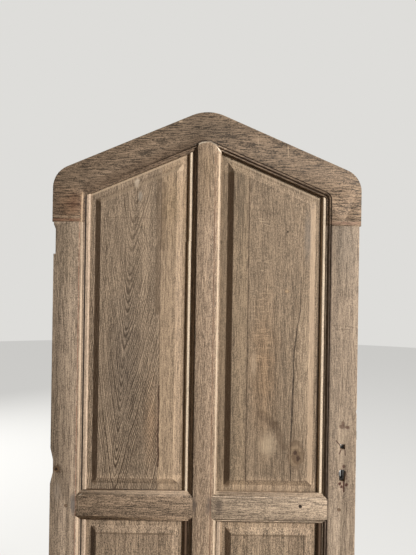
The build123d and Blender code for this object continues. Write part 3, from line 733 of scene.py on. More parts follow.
def dress_groups(nodes: dict[str, bpy.types.Object], groups: Any, start: str = "") -> None:
    """Dress groups of solids, each group in one finish.

    Args:
        nodes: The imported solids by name.
        groups: Each finish, followed by the names of the solids that take it.
        start: What all those names start with.
    """
    for finish, *names in groups:
        material = finish.material()
        for name in names:
            dress(nodes[start + name], material)


# Near-black for cracks, holes and the knot's heart, also used as painted shade in the narrow gaps beside
# slips and round the muntin's head.
NEAR_BLACK_AND_SHADE = tone(40, 29, 21)
# Brown for dirt and glued joints, also used as painted shade in the hinge side's quirk and beside the hinge
# side's slip.
DIRT_AND_SHADE = tone(84, 66, 50)
GREY = tone(104, 98, 93)
# Pale for bare, rubbed wood, also used as a painted highlight on the lit border and bevel below the top
# rail's left slope.
BARE_AND_HIGHLIGHT = tone(186, 162, 134)
RED = tone(128, 80, 58)
IRON_STAIN = tone(66, 32, 22)
SHADE = tone(84, 62, 42)
LIT_EDGE = tone(236, 210, 178)
# Near-white for the fresh slips, also used as a painted highlight down the muntin's lit right moulding.
FRESH_CUT_AND_HIGHLIGHT = tone(222, 200, 172)
TOP_RAIL = {
    "grain": Grain.LEVEL,
    "streak_width": 0.0027,
    "streak_length": 0.036,
    "bands": 0.7,
    "streaks": 6.0,
    "speckle": 2.4,
    "pores": 0.3,
    "wander": 0.02,
}
SHORT_RAIL = {"grain": Grain.LEVEL, "streak_width": 0.0022, "streaks": 3.6, "speckle": 2.2}
SLIP = {"streak_width": 0.0022}


def oak(name: str, body: Colour, contrast: float, shift: Point, *marks: Mark, **grain: Any) -> Oak:
    """Describe the finish of one piece of oak, with its marks in the order in which they are laid."""
    return Oak(name, body, contrast, shift, marks, **grain)


def glue_line(x: float, foot_z: float = 0.23, head_z: float = 0.83, half_width: float = 0.0013) -> Split:
    """Draw the dark line of a glued joint down the field of a panel, by default a lower one."""
    return Split(x, foot_z, x, head_z, half_width, DIRT_AND_SHADE, 0.75, FIELD_Y, 0.0006, 0.4, 1.0)


def crack(half_width: float, *points: Place) -> tuple[Split, ...]:
    """Draw a crack through a row of places on a panel's field."""
    look = (half_width, NEAR_BLACK_AND_SHADE, 0.85, FIELD_Y, 0.003, 0.3, 1.0)
    return tuple(Split(*start, *end, *look) for start, end in zip(points, points[1:]))


def light_and_shade_row(half_width: float, colour: Colour, *points: Place) -> tuple[Split, ...]:
    """Draw painted light as a line with gaps through a row of places on the front face: pale for a
    highlight, dark for shade.
    """
    look = (half_width, colour, 0.85, FRONT_Y, 0.002, 0.5)
    return tuple(Split(*start, *end, *look) for start, end in zip(points, points[1:]))


def gap_shade(x: float, foot_z: float, head_z: float) -> Split:
    """Draw painted shade in the narrow gap between a moulding and the slip beside it."""
    return Split(x, foot_z, x, head_z, 0.0034, NEAR_BLACK_AND_SHADE, 1.0, BORDER_Y, 0.0)


# Marks that run on from one piece to the next, or that several pieces show.
# Painted highlight on the lit edge of the border and on the bevel below the top rail's left slope.
LEFT_SLOPE_HIGHLIGHT = (
    Split(-0.326, 1.768, -0.048, 1.886, 0.0045, BARE_AND_HIGHLIGHT, 0.8, BORDER_Y, 0.001, 0.2),
    Split(-0.292, 1.751, -0.07, 1.846, 0.008, BARE_AND_HIGHLIGHT, 0.45, BEVEL_Y, 0.004, 0.4),
)
# Painted light that lifts the cast shadow on the border below the top rail's right slope.
RIGHT_SLOPE_LIGHT = Split(0.055, 1.8785, 0.335, 1.7595, 0.0065, LIT_EDGE, 0.25, BORDER_Y, 0.001, 0.1)
LEFT_JOINT = (
    glue_line(-0.128, 0.96, 1.85),
    Split(-0.1278, 1.235, -0.1272, 1.01, 0.0036, tone(66, 42, 29), 0.85, FIELD_Y, 0.007, 0.3, 1.5),
)
RIGHT_JOINT = glue_line(0.118, 0.96, 1.85, 0.0022)
# Painted light on the downward-facing bevels and borders at the foot of the upper panels, which lie in
# shade.
RIGHT_FOOT_LIGHT = Tint(0.19, 0.962, 0.6, 0.034, (1.6, 1.6, 1.6), -0.006)
LEFT_FOOT_LIGHT = Tint(-0.19, 0.975, 0.6, 0.018, (1.5, 1.5, 1.5), -0.006)
FIELD_HEAD = Split(-0.295, 0.8209, 0.3, 0.8209, 0.0033, DIRT_AND_SHADE, 0.55, FIELD_Y, 0.001, 0.2)
# The tints here are painted light on the upward-facing top bevels of the lower panels.
LEFT_HEAD = (Tint(-0.19, 0.846, 0.6, 0.036, (1.18, 1.18, 1.18), -0.006), FIELD_HEAD)
RIGHT_HEAD = (Tint(0.19, 0.842, 0.6, 0.036, (1.25, 1.25, 1.25), -0.006), FIELD_HEAD)
# Painted shade in the quirk of the hinge side's lit moulding.
LEFT_QUIRK_SHADE = Split(-0.3444, 0.21, -0.3444, 1.748, 0.0016, DIRT_AND_SHADE, 0.7, QUIRK_Y, 0.0003, 0.2)
# Painted shade in the gap between the hinge side's moulding and its slip.
LEFT_GAP_SHADE = Split(-0.3401, 0.19, -0.3401, 1.765, 0.0056, NEAR_BLACK_AND_SHADE, 0.95, -0.0078, 0.0)
# Painted highlight down the muntin's lit right moulding.
MUNTIN_BEAD_HIGHLIGHT = Split(0.0338, 0.21, 0.0338, 1.885, 0.0024, FRESH_CUT_AND_HIGHLIGHT, 0.75, -0.0128, 0.0003, 0.2)
# Painted highlight round the muntin's head, where the rail's notch and the muntin's moulding catch the
# light.
HEAD_HIGHLIGHT = light_and_shade_row(
    0.0026,
    tone(208, 190, 166),
    *((-0.0409, 1.8899), (-0.035, 1.9047), (-0.016, 1.9147)),
    *((0.0076, 1.9179), (0.0275, 1.9068), (0.0392, 1.8889)),
)
# Painted shade in the gap between the top rail's notch and the muntin's head.
HEAD_GAP_SHADE = light_and_shade_row(
    0.0024,
    NEAR_BLACK_AND_SHADE,
    *((-0.039, 1.907), (-0.019, 1.918), (0.008, 1.9212), (0.0306, 1.9092), (0.0432, 1.8895)),
)
SLIP_SHADE = Split(-0.3243, 0.2, -0.3243, 1.77, 0.0044, DIRT_AND_SHADE, 0.6, -0.004, 0.0)
# Painted shade in the gap between the muntin's moulding and the lower right panel's inner slip.
SLIP_GAP_SHADE = Split(0.0402, 0.2, 0.0402, 0.86, 0.0034, NEAR_BLACK_AND_SHADE, 0.85, -0.006, 0.0)

FRAME_OAK = {
    "hinge_stile": oak(
        "oak hinge stile", tone(157, 137, 116), 0.6, (0.3, 0.0, 0.7),
        Spot(-0.406, 1.0013, 0.016, 0.015, tone(80, 58, 40), 0.75, 0.6, 0.5, 1.2, 90.0),
        Spot(-0.407, 1.0013, 0.01, 0.0085, tone(136, 106, 76), 0.7, 0.0, 0.5, 1.2, 110.0),
        Spot(-0.4085, 1.0013, 0.006, 0.0055, NEAR_BLACK_AND_SHADE, 0.95, 1.0, 0.5, 0.9, 160.0),
        Spot(-0.359, 0.905, 0.012, 0.04, GREY, 0.8),
        Spot(-0.405, 0.94, 0.016, 0.04, tone(176, 160, 142), 0.4, edge=0.9),
        LEFT_QUIRK_SHADE,
        LEFT_GAP_SHADE,
        Tint(-0.385, 1.6, 0.06, 0.18, (0.76, 0.75, 0.72)),
        Tint(-0.4, 1.38, 0.04, 0.14, (0.9, 0.9, 0.9)),
        Tint(-0.395, 0.9, 0.05, 0.14, (0.86, 0.86, 0.87)),
        Split(-0.3575, 0.21, -0.3575, 1.7, 0.0055, DIRT_AND_SHADE, 0.4, FRONT_Y, 0.004, 0.7, 0.3),
        Split(-0.353, 0.21, -0.353, 1.7, 0.0018, RED, 0.7, FRONT_Y, 0.0006, 0.6),
        # Painted highlight on the ridge of the lit moulding.
        Split(-0.3475, 0.21, -0.3475, 1.692, 0.0044, tone(200, 174, 146), 0.45, MOULD_Y, 0.001, 0.2),
    ),
    "lock_stile": oak(
        "oak lock stile", tone(157, 137, 116), 0.5, (1.3, 0.0, 0.2),
        Tint(0.385, 1.64, 0.06, 0.16, (0.8, 0.83, 0.86)),
        # Painted shade on the lock stile's moulding, which faces away from the light.
        Split(0.3455, 0.2, 0.3455, 1.75, 0.0095, tone(52, 36, 26), 0.75, -0.0135, 0.001, 0.1),
        Tint(0.385, 0.84, 0.07, 0.16, (1.22, 1.24, 1.26)),
        Spot(0.3852, 1.1309, 0.0125, 0.008, IRON_STAIN, 0.95, 0.8, 0.6, 1.0, 160.0),
        Spot(0.387, 1.14, 0.006, 0.012, IRON_STAIN, 0.9, 0.6, 0.6, 1.0, 160.0),
        Spot(0.3992, 1.1297, 0.0085, 0.007, IRON_STAIN, 0.9, 0.6, 0.6, 1.0, 160.0),
        Spot(0.387, 1.075, 0.0135, 0.013, IRON_STAIN, 0.6, 0.3, 0.6, 0.8, 120.0),
        Spot(0.389, 0.995, 0.015, 0.025, IRON_STAIN, 0.5, 0.3, 0.5, 0.8, 120.0),
        Spot(0.3911, 1.0205, 0.006, 0.0075, IRON_STAIN, 0.95, 0.8, 0.6, 0.9, 160.0),
        Spot(0.38, 0.9724, 0.006, 0.0065, IRON_STAIN, 0.95, 0.8, 0.6, 0.9, 160.0),
        Spot(0.385, 0.964, 0.0055, 0.0065, IRON_STAIN, 0.9, 0.6, 0.6, 0.9, 160.0),
        Spot(0.3989, 0.9699, 0.006, 0.0065, IRON_STAIN, 0.9, 0.6, 0.6, 0.9, 160.0),
        Split(0.352, 1.412, 0.412, 1.408, 0.0022, DIRT_AND_SHADE, 0.4, FRONT_Y, 0.006, 0.5, 0.4),
        Split(0.36, 1.399, 0.405, 1.401, 0.0018, DIRT_AND_SHADE, 0.35, FRONT_Y, 0.006, 0.5, 0.4),
        Spot(0.386, 1.085, 0.03, 0.11, tone(176, 156, 132), 0.35, edge=0.9),
        Split(0.369, 1.0915, 0.3793, 1.0793, 0.0019, IRON_STAIN, 0.85, FRONT_Y, 0.002, 0.0, 1.0),
        Split(0.3834, 1.0698, 0.3776, 1.0557, 0.0019, IRON_STAIN, 0.85, FRONT_Y, 0.002, 0.0, 1.0),
        Split(0.3931, 1.0672, 0.3946, 1.0523, 0.0019, IRON_STAIN, 0.85, FRONT_Y, 0.002, 0.0, 1.0),
        Split(0.3911, 0.9802, 0.3916, 0.9512, 0.0032, IRON_STAIN, 0.9, FRONT_Y, 0.002, 0.0, 1.0),
    ),
    "muntin": oak(
        "oak muntin", tone(160, 137, 114), 0.6, (2.1, 0.0, 1.2),
        RingFigure(0.001, 1.24, tone(100, 80, 60), 0.45, 0.032, 8.0, 0.004, 0.02),
        Spot(0.021, 0.906, 0.017, 0.04, tone(98, 84, 74), 0.85, edge=0.9, ragged=0.9),
        Spot(-0.025, 0.9051, 0.013, 0.036, tone(104, 90, 80), 0.8, edge=0.9, ragged=0.9),
        MUNTIN_BEAD_HIGHLIGHT,
        Tint(0.0, 1.83, 0.06, 0.18, (0.78, 0.76, 0.7)),
        Tint(0.0, 0.8, 0.05, 0.12, (1.16, 1.16, 1.16)),
        Split(0.0222, 0.21, 0.0222, 1.89, 0.0024, tone(104, 72, 52), 0.6, FRONT_Y, 0.0008, 0.5),
        *HEAD_HIGHLIGHT,
        # Painted highlights on the shoulders of the muntin's head.
        Split(0.0262, 1.9085, 0.041, 1.887, 0.006, tone(226, 208, 184), 0.95, -0.0155, 0.001, 0.1),
        Split(-0.0375, 1.902, -0.033, 1.908, 0.0034, tone(222, 204, 180), 0.8, FRONT_Y, 0.001, 0.1),
    ),
    "top_rail": oak(
        "oak top rail", tone(122, 103, 84), 0.72, (0.4, 0.0, 3.2),
        Split(-0.33, 1.785, -0.02, 1.915, 0.022, tone(78, 58, 42), 0.35, FRONT_Y, 0.012),
        *HEAD_HIGHLIGHT,
        *HEAD_GAP_SHADE,
        Tint(0.0, 1.955, 0.18, 0.08, (0.66, 0.67, 0.68)),
        Tint(0.19, 1.885, 0.18, 0.08, (0.82, 0.83, 0.84)),
        # Painted shade along the moulding under the rail's right slope.
        Split(0.055, 1.8937, 0.335, 1.7745, 0.009, tone(72, 54, 40), 0.5, -0.014),
        LEFT_QUIRK_SHADE,
        LEFT_GAP_SHADE,
        Tint(-0.385, 1.73, 0.07, 0.08, (0.92, 0.8, 0.72)),
        # Painted highlight on the moulding of the rail's left leg, running on from the hinge stile's.
        Split(-0.3497, 1.69, -0.348, 1.774, 0.0036, tone(196, 166, 134), 0.7, MOULD_Y, 0.001, 0.2),
        Spot(-0.3662, 1.7415, 0.03, 0.04, RED, 0.2, edge=1.0, ragged=0.9),
        Tint(0.385, 1.745, 0.09, 0.11, (1.4, 1.38, 1.36)),
        Spot(-0.0766, 1.9724, 0.007, 0.004, BARE_AND_HIGHLIGHT, 0.8),
        Split(-0.425, 1.703, -0.353, 1.703, 0.0032, BARE_AND_HIGHLIGHT, 0.45, FRONT_Y, 0.006, 0.8),
        Split(-0.425, 1.694, -0.353, 1.694, 0.005, RED, 0.45, FRONT_Y, 0.006, 0.6),
        Split(0.347, 1.7085, 0.425, 1.7085, 0.005, DIRT_AND_SHADE, 0.35, FRONT_Y, 0.006, 0.6),
        Split(0.347, 1.6965, 0.425, 1.6965, 0.0058, tone(172, 136, 114), 0.5, FRONT_Y, 0.004, 0.5),
        Split(0.1395, 1.936, 0.14, 1.911, 0.0018, BARE_AND_HIGHLIGHT, 0.5, FRONT_Y, 0.002, 0.4, 0.3),
        Split(0.2233, 1.906, 0.224, 1.878, 0.0018, BARE_AND_HIGHLIGHT, 0.5, FRONT_Y, 0.002, 0.4, 0.3),
        **TOP_RAIL,
    ),
    "mid_rail_left": oak(
        "oak left mid rail", tone(137, 116, 95), 0.8, (0.4, 0.0, 5.2),
        # Painted highlight on the rail's lit upward-facing moulding, and painted light lifting the shade on
        # its downward-facing moulding.
        Split(-0.34, 0.941, -0.05, 0.941, 0.012, tone(178, 156, 132), 0.4, MOULD_Y, 0.002, 0.2),
        Tint(-0.19, 0.866, 0.6, 0.014, (1.7, 1.7, 1.7), -0.014),
        Split(-0.3445, 0.925, -0.3306, 0.939, 0.0022, tone(206, 188, 164), 0.8, -0.017, 0.002, 0.3),
        Split(-0.3445, 0.8807, -0.333, 0.868, 0.0022, tone(206, 188, 164), 0.8, -0.017, 0.002, 0.3),
        Split(-0.344, 0.917, -0.344, 0.885, 0.0018, tone(190, 170, 146), 0.7, -0.018, 0.002, 0.5),
        **SHORT_RAIL,
    ),
    "mid_rail_right": oak(
        "oak right mid rail", tone(171, 150, 127), 0.6, (0.4, 0.0, 6.2),
        Spot(0.045, 0.905, 0.018, 0.036, tone(98, 84, 74), 0.7, edge=0.9, ragged=0.9),
        Split(0.05, 0.941, 0.345, 0.941, 0.012, tone(112, 92, 72), 0.55, MOULD_Y, 0.002, 0.2),
        Tint(0.19, 0.928, 0.6, 0.018, (0.82, 0.82, 0.82), -0.016),
        Spot(0.2716, 0.908, 0.006, 0.006, NEAR_BLACK_AND_SHADE, 1.0, 1.5, 0.35, 0.2),
        **SHORT_RAIL,
    ),
    "bottom_rail": oak("oak bottom rail", tone(146, 125, 104), 0.6, (0.4, 0.0, 7.2), **SHORT_RAIL),
}

BOARD_OAK = {
    "panel_upper_left_board_1": oak(
        "oak upper left board 1", tone(158, 137, 114), 0.6, (0.13, 0.0, 0.4),
        RingFigure(-0.218, 1.4464, tone(66, 51, 38), 1.0, 0.0225, 6.3, 0.009, 0.062),
        LEFT_FOOT_LIGHT,
        Tint(-0.146, 1.13, 0.034, 0.19, (1.04, 0.96, 0.89), FIELD_Y),
        Tint(-0.225, 1.31, 0.07, 0.32, (0.76, 0.77, 0.8), FIELD_Y),
        Split(-0.1345, 1.83, -0.134, 1.44, 0.009, tone(92, 74, 56), 0.55, FIELD_Y, 0.003, 0.2),
        *LEFT_JOINT,
        *LEFT_SLOPE_HIGHLIGHT,
        gap_shade(-0.3384, 0.93, 1.765),
        Split(-0.3045, 0.96, -0.3045, 1.75, 0.011, SHADE, 0.5, BEVEL_Y),
        Spot(-0.197, 1.8, 0.01, 0.02, tone(204, 184, 160), 0.85, 0.0, 0.6, 0.8, y=BORDER_Y),
        Spot(-0.1872, 1.765, 0.009, 0.02, tone(158, 147, 132), 0.6, y=FIELD_Y),
        Split(-0.285, 1.7045, -0.128, 1.703, 0.002, DIRT_AND_SHADE, 0.4, FIELD_Y, 0.004, 0.7, 0.4),
        streaks=1.7,
    ),
    "panel_upper_left_board_2": oak(
        "oak upper left board 2", tone(166, 142, 116), 0.5, (0.53, 0.0, 2.4),
        LEFT_FOOT_LIGHT,
        Tint(-0.09, 1.74, 0.08, 0.16, (0.84, 0.82, 0.76), FIELD_Y),
        Split(-0.076, 0.97, -0.076, 1.83, 0.012, DIRT_AND_SHADE, 0.18, BEVEL_Y),
        *LEFT_SLOPE_HIGHLIGHT,
        *LEFT_JOINT,
        Split(-0.121, 1.8, -0.121, 1.62, 0.009, tone(92, 74, 56), 0.5, FIELD_Y, 0.004, 0.2),
        Split(-0.128, 1.703, -0.115, 1.7025, 0.002, DIRT_AND_SHADE, 0.4, FIELD_Y, 0.004, 0.7, 0.4),
    ),
    "panel_upper_right_board_1": oak(
        "oak upper right board 1", tone(140, 120, 97), 0.6, (0.73, 0.0, 4.4),
        RIGHT_SLOPE_LIGHT,
        RIGHT_FOOT_LIGHT,
        RIGHT_JOINT,
        Split(0.0665, 0.96, 0.0665, 1.83, 0.012, SHADE, 0.75, BEVEL_Y),
        Tint(0.09, 1.74, 0.08, 0.16, (0.86, 0.86, 0.86), FIELD_Y),
        Spot(0.0674, 1.8737, 0.005, 0.005, NEAR_BLACK_AND_SHADE, 0.7, 0.5, y=BORDER_Y),
        Spot(0.0412, 1.6404, 0.005, 0.007, NEAR_BLACK_AND_SHADE, 0.6, 0.5, y=BORDER_Y),
        Split(0.0478, 0.96, 0.0478, 1.83, 0.014, tone(96, 78, 60), 0.35, BORDER_Y, 0.004, 0.2),
    ),
    "panel_upper_right_board_2": oak(
        "oak upper right board 2", tone(142, 122, 100), 0.6, (0.93, 0.0, 5.4),
        SawnPatch(0.155, 1.42, 0.045, 0.34, tone(192, 166, 136), 0.6, 0.0042, 0.035),
        RingFigure(0.2645, 1.3, tone(90, 72, 54), 0.45, 0.06, 14.0, 0.01, -0.03),
        RIGHT_SLOPE_LIGHT,
        RIGHT_FOOT_LIGHT,
        RIGHT_JOINT,
        Tint(0.276, 1.26, 0.032, 0.3, (1.4, 1.42, 1.44), FIELD_Y),
        Spot(0.284, 1.66, 0.016, 0.11, tone(128, 118, 108), 0.45, edge=0.9, y=FIELD_Y),
        *crack(0.0014, (0.266, 1.545), (0.2656, 1.454), (0.2569, 1.401)),
        *crack(0.0024, (0.2569, 1.401), (0.2484, 1.323), (0.2485, 1.258)),
        *crack(0.0034, (0.2485, 1.258), (0.2452, 1.14)),
        *crack(0.0022, (0.2452, 1.14), (0.2432, 1.062), (0.2444, 0.972)),
        # Painted highlight on the panel's lit right bevel.
        Split(0.2985, 0.97, 0.2985, 1.73, 0.011, tone(164, 140, 114), 0.6, BEVEL_Y, 0.001, 0.3),
        Spot(0.2265, 1.6712, 0.0032, 0.0032, NEAR_BLACK_AND_SHADE, 0.9, 1.2, 0.5, 0.2, y=FIELD_Y),
        Spot(0.259, 1.048, 0.028, 0.05, tone(94, 74, 56), 0.75, 0.1, 0.4, 0.9, 70.0, FIELD_Y),
        Spot(0.259, 1.046, 0.021, 0.039, tone(150, 128, 102), 0.8, 0.0, 0.4, 0.9, 70.0, FIELD_Y),
        Spot(0.26, 1.043, 0.016, 0.027, tone(92, 70, 52), 0.7, 0.2, 0.4, 1.6, 170.0, FIELD_Y),
        Spot(0.257, 1.054, 0.007, 0.009, tone(62, 43, 33), 0.85, 0.5, 0.6, 1.6, 260.0, FIELD_Y),
        Spot(0.265, 1.037, 0.007, 0.011, tone(58, 40, 30), 0.85, 0.5, 0.6, 1.6, 260.0, FIELD_Y),
        Spot(0.2267, 1.505, 0.009, 0.007, tone(112, 84, 56), 0.7, 0.2, 0.6, 0.7, 150.0, FIELD_Y),
        Spot(0.2267, 1.505, 0.006, 0.005, tone(188, 160, 126), 0.8, 0.0, 0.6, 0.5, 150.0, FIELD_Y),
        Spot(0.179, 1.076, 0.034, 0.05, tone(190, 168, 140), 0.6, 0.0, 0.8, 0.6, y=FIELD_Y),
        Split(0.16, 1.158, 0.198, 1.132, 0.019, tone(88, 70, 53), 0.55, FIELD_Y, 0.022, 0.35, 0.2),
        Split(0.198, 1.132, 0.228, 1.068, 0.015, tone(88, 70, 53), 0.55, FIELD_Y, 0.022, 0.35, 0.2),
        Tint(0.165, 1.29, 0.06, 0.3, (1.01, 0.93, 0.85), FIELD_Y),
        Spot(0.138, 1.3, 0.012, 0.05, tone(196, 172, 144), 0.35, 0.0, 0.8, 0.8, 90.0, FIELD_Y),
        Split(0.143, 1.709, 0.16, 1.706, 0.0014, BARE_AND_HIGHLIGHT, 0.6, FIELD_Y, 0.002, 0.0, 0.5),
        Split(0.15, 1.7, 0.172, 1.698, 0.0014, BARE_AND_HIGHLIGHT, 0.6, FIELD_Y, 0.002, 0.0, 0.5),
        Split(0.158, 1.693, 0.178, 1.688, 0.0014, BARE_AND_HIGHLIGHT, 0.5, FIELD_Y, 0.002, 0.0, 0.5),
    ),
    "panel_lower_left_board_1": oak(
        "oak lower left board 1", tone(140, 120, 99), 0.8, (1.4, 0.0, 3.4),
        gap_shade(-0.3384, 0.19, 0.86),
        # Painted shade on the panel's left bevel, which faces away from the light.
        Split(-0.3065, 0.24, -0.3065, 0.83, 0.012, tone(60, 42, 28), 0.7, BEVEL_Y),
        *LEFT_HEAD,
        glue_line(-0.215),
        *crack(0.0012, (-0.2418, 0.84), (-0.2424, 0.55)),
    ),
    "panel_lower_left_board_2": oak(
        "oak lower left board 2", tone(148, 127, 105), 0.8, (1.7, 0.0, 4.1),
        *LEFT_HEAD,
        glue_line(-0.215),
        glue_line(-0.121),
    ),
    "panel_lower_left_board_3": oak(
        "oak lower left board 3", tone(152, 130, 107), 0.8, (1.9, 0.0, 5.1), *LEFT_HEAD, glue_line(-0.121)
    ),
    "panel_lower_right_board_1": oak(
        "oak lower right board 1", tone(146, 125, 102), 0.8, (2.2, 0.0, 3.1),
        *RIGHT_HEAD,
        gap_shade(0.0391, 0.19, 0.86),
        Split(0.0715, 0.24, 0.0715, 0.83, 0.011, SHADE, 0.6, BEVEL_Y),
        glue_line(0.126),
    ),
    "panel_lower_right_board_2": oak(
        "oak lower right board 2", tone(152, 131, 108), 0.8, (2.5, 0.0, 2.1),
        *RIGHT_HEAD,
        glue_line(0.126),
        glue_line(0.243),
    ),
    "panel_lower_right_board_3": oak(
        "oak lower right board 3", tone(144, 123, 101), 0.8, (2.8, 0.0, 1.1),
        *RIGHT_HEAD,
        glue_line(0.243),
        *crack(0.0012, (0.2836, 0.84), (0.2842, 0.5)),
    ),
}


@dataclass(frozen=True)
class Wear:
    """How far the arrises of a piece of timber are rubbed down."""

    outline: float = 0.0016
    inner: float = 0.0005
    peak: float = 1.966
    fall: float = 0.4255
    side: float = 0.4245
    foot: float = 0.0005
    near: float = 0.00002
    weld: float = 0.00001
    flat: float = math.radians(0.5)
    sharp: float = math.radians(40)
    smooth: float = math.radians(32)

    def weight(self, x: float, z: float) -> float:
        """Tell how much an arris of the face is worn at a place.

        Args:
            x: Place across the leaf.
            z: Height of the place.

        Returns:
            1 on the leaf's outline, and less on the arrises inside it.
        """
        outside = z > self.peak - self.fall * abs(x) or abs(x) > self.side or z < self.foot
        return 1.0 if outside else self.inner / self.outline

    def copy(self, node: bpy.types.Object, slot: str, material: bpy.types.Material) -> bpy.types.Object:
        """Copy a solid, rub down the arrises of its faces and let the copy stand for it.

        Args:
            node: Solid to copy.
            slot: Not used.
            material: Finish of the copy.

        Returns:
            The worn copy.
        """
        piece = bpy.data.objects.new(f"worn_{node.name}", node.data.copy())
        bpy.context.scene.collection.objects.link(piece)
        bpy.ops.object.select_all(action="DESELECT")
        piece.select_set(True)
        bpy.context.view_layer.objects.active = piece
        bpy.ops.object.mode_set(mode="EDIT")
        bpy.ops.mesh.select_all(action="SELECT")
        bpy.ops.mesh.remove_doubles(threshold=self.weld)
        bpy.ops.mesh.dissolve_limited(angle_limit=self.flat)
        bpy.ops.mesh.normals_make_consistent(inside=False)
        bpy.ops.mesh.select_all(action="DESELECT")
        bpy.ops.mesh.select_mode(type="EDGE")
        bpy.ops.mesh.edges_select_sharp(sharpness=self.sharp)
        bpy.ops.object.mode_set(mode="OBJECT")
        mesh = piece.data
        weights = mesh.attributes.new("bevel_weight_edge", "FLOAT", "EDGE")
        for edge, weight in zip(mesh.edges, weights.data):
            a, b = (mesh.vertices[i].co for i in edge.vertices)
            on_face = all(abs(abs(end.y) + FRONT_Y) < self.near for end in (a, b))
            if edge.select and on_face and a.y * b.y > 0:
                weight.value = self.weight((a.x + b.x) / 2, (a.z + b.z) / 2)
        rub = piece.modifiers.new("rubbed arrises", "BEVEL")
        rub.limit_method = "WEIGHT"
        rub.width = self.outline
        rub.segments = 2
        rub.use_clamp_overlap = False
        bpy.ops.object.modifier_apply(modifier=rub.name)
        bpy.ops.object.shade_smooth_by_angle(angle=self.smooth)
        piece.data.materials.clear()
        piece.data.materials.append(material)
        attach(piece, "leaf")
        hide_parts(node.name)
        LOG.info("%s: %d faces", piece.name, len(piece.data.polygons))
        return piece


@dataclass
class FrameMembers:
    """The stiles, muntin and rails that hold the panels."""

    nodes: dict[str, bpy.types.Object]
    finishes: dict[str, Oak] = field(default_factory=lambda: dict(FRAME_OAK))
    wear: Wear = Wear()

    def build(self) -> None:
        """Dress each member and stand a worn copy in its place."""
        for name, finish in self.finishes.items():
            material = finish.material()
            dress(self.nodes[name], material)
            self.wear.copy(self.nodes[name], "oak_frame", material)


@dataclass
class PanelBoards:
    """The glued boards of the four raised panels."""

    nodes: dict[str, bpy.types.Object]
    finishes: dict[str, Oak] = field(default_factory=lambda: dict(BOARD_OAK))

    def build(self) -> None:
        """Dress each board."""
        dress_groups(self.nodes, tuple((finish, name) for name, finish in self.finishes.items()))


@dataclass
class LooseParts:
    """The slips along the panels, some of them newer than others and two painted dark for the shade they
    lie in, and the pegs through the tenons.
    """

    nodes: dict[str, bpy.types.Object]
    fresh: Oak = oak("oak fresh slip", FRESH_CUT_AND_HIGHLIGHT, 0.3, (2.4, 0.0, 0.4), **SLIP, pores=0.15)
    brown: Oak = oak(
        "oak brown slip", tone(178, 155, 132), 0.4, (2.6, 0.0, 1.4), SLIP_SHADE, SLIP_GAP_SHADE, **SLIP, pores=0.3
    )
    # These two slips are painted dark all over to stand in for the shade they lie in.
    dark: Oak = oak("oak shaded slip", tone(92, 72, 55), 0.4, (2.9, 0.0, 0.9), **SLIP, pores=0.3)
    peg: Oak = Oak("oak peg", tone(112, 92, 74), grain=Grain.THROUGH)

    def build(self) -> None:
        """Dress the slips and the pegs."""
        groups = (
            (self.fresh, "upper_left_inner_head", "upper_left_inner_foot", "upper_right_outer"),
            (self.brown, "upper_left_outer", "lower_left_outer", "lower_right_inner"),
            (self.dark, "lower_left_inner", "lower_right_outer"),
        )
        dress_groups(self.nodes, groups, "slip_")
        dress(self.nodes["pegs"], self.peg.material())


@dataclass
class MortiseLock:
    """The lock in its stile, with its latch, dead bolt and springs."""

    nodes: dict[str, bpy.types.Object]
    plate: Metal = Metal("iron plate", tone(128, 126, 122), tone(84, 82, 80))
    faceplate: Metal = Metal("iron faceplate", tone(150, 146, 140), tone(104, 98, 90), 0.5)
    bolt: Metal = Metal("steel bolt", tone(214, 212, 204), tone(176, 172, 164), 0.0, 0.25)
    spring: Metal = Metal("blued spring", tone(86, 90, 98), tone(60, 62, 68), 0.1)
    screw: Metal = Metal("steel screw", tone(140, 136, 130), tone(96, 90, 84), 0.6)

    def build(self) -> None:
        """Dress each piece of the lock."""
        groups = (
            (self.plate, "lock_case", "lock_cover", "follower"),
            (self.faceplate, "lock_faceplate"),
            (self.bolt, "latch_bolt", "dead_bolt"),
            (self.spring, "latch_spring", "bolt_spring"),
            (self.screw, "cover_screws", "faceplate_screws"),
        )
        dress_groups(self.nodes, groups)


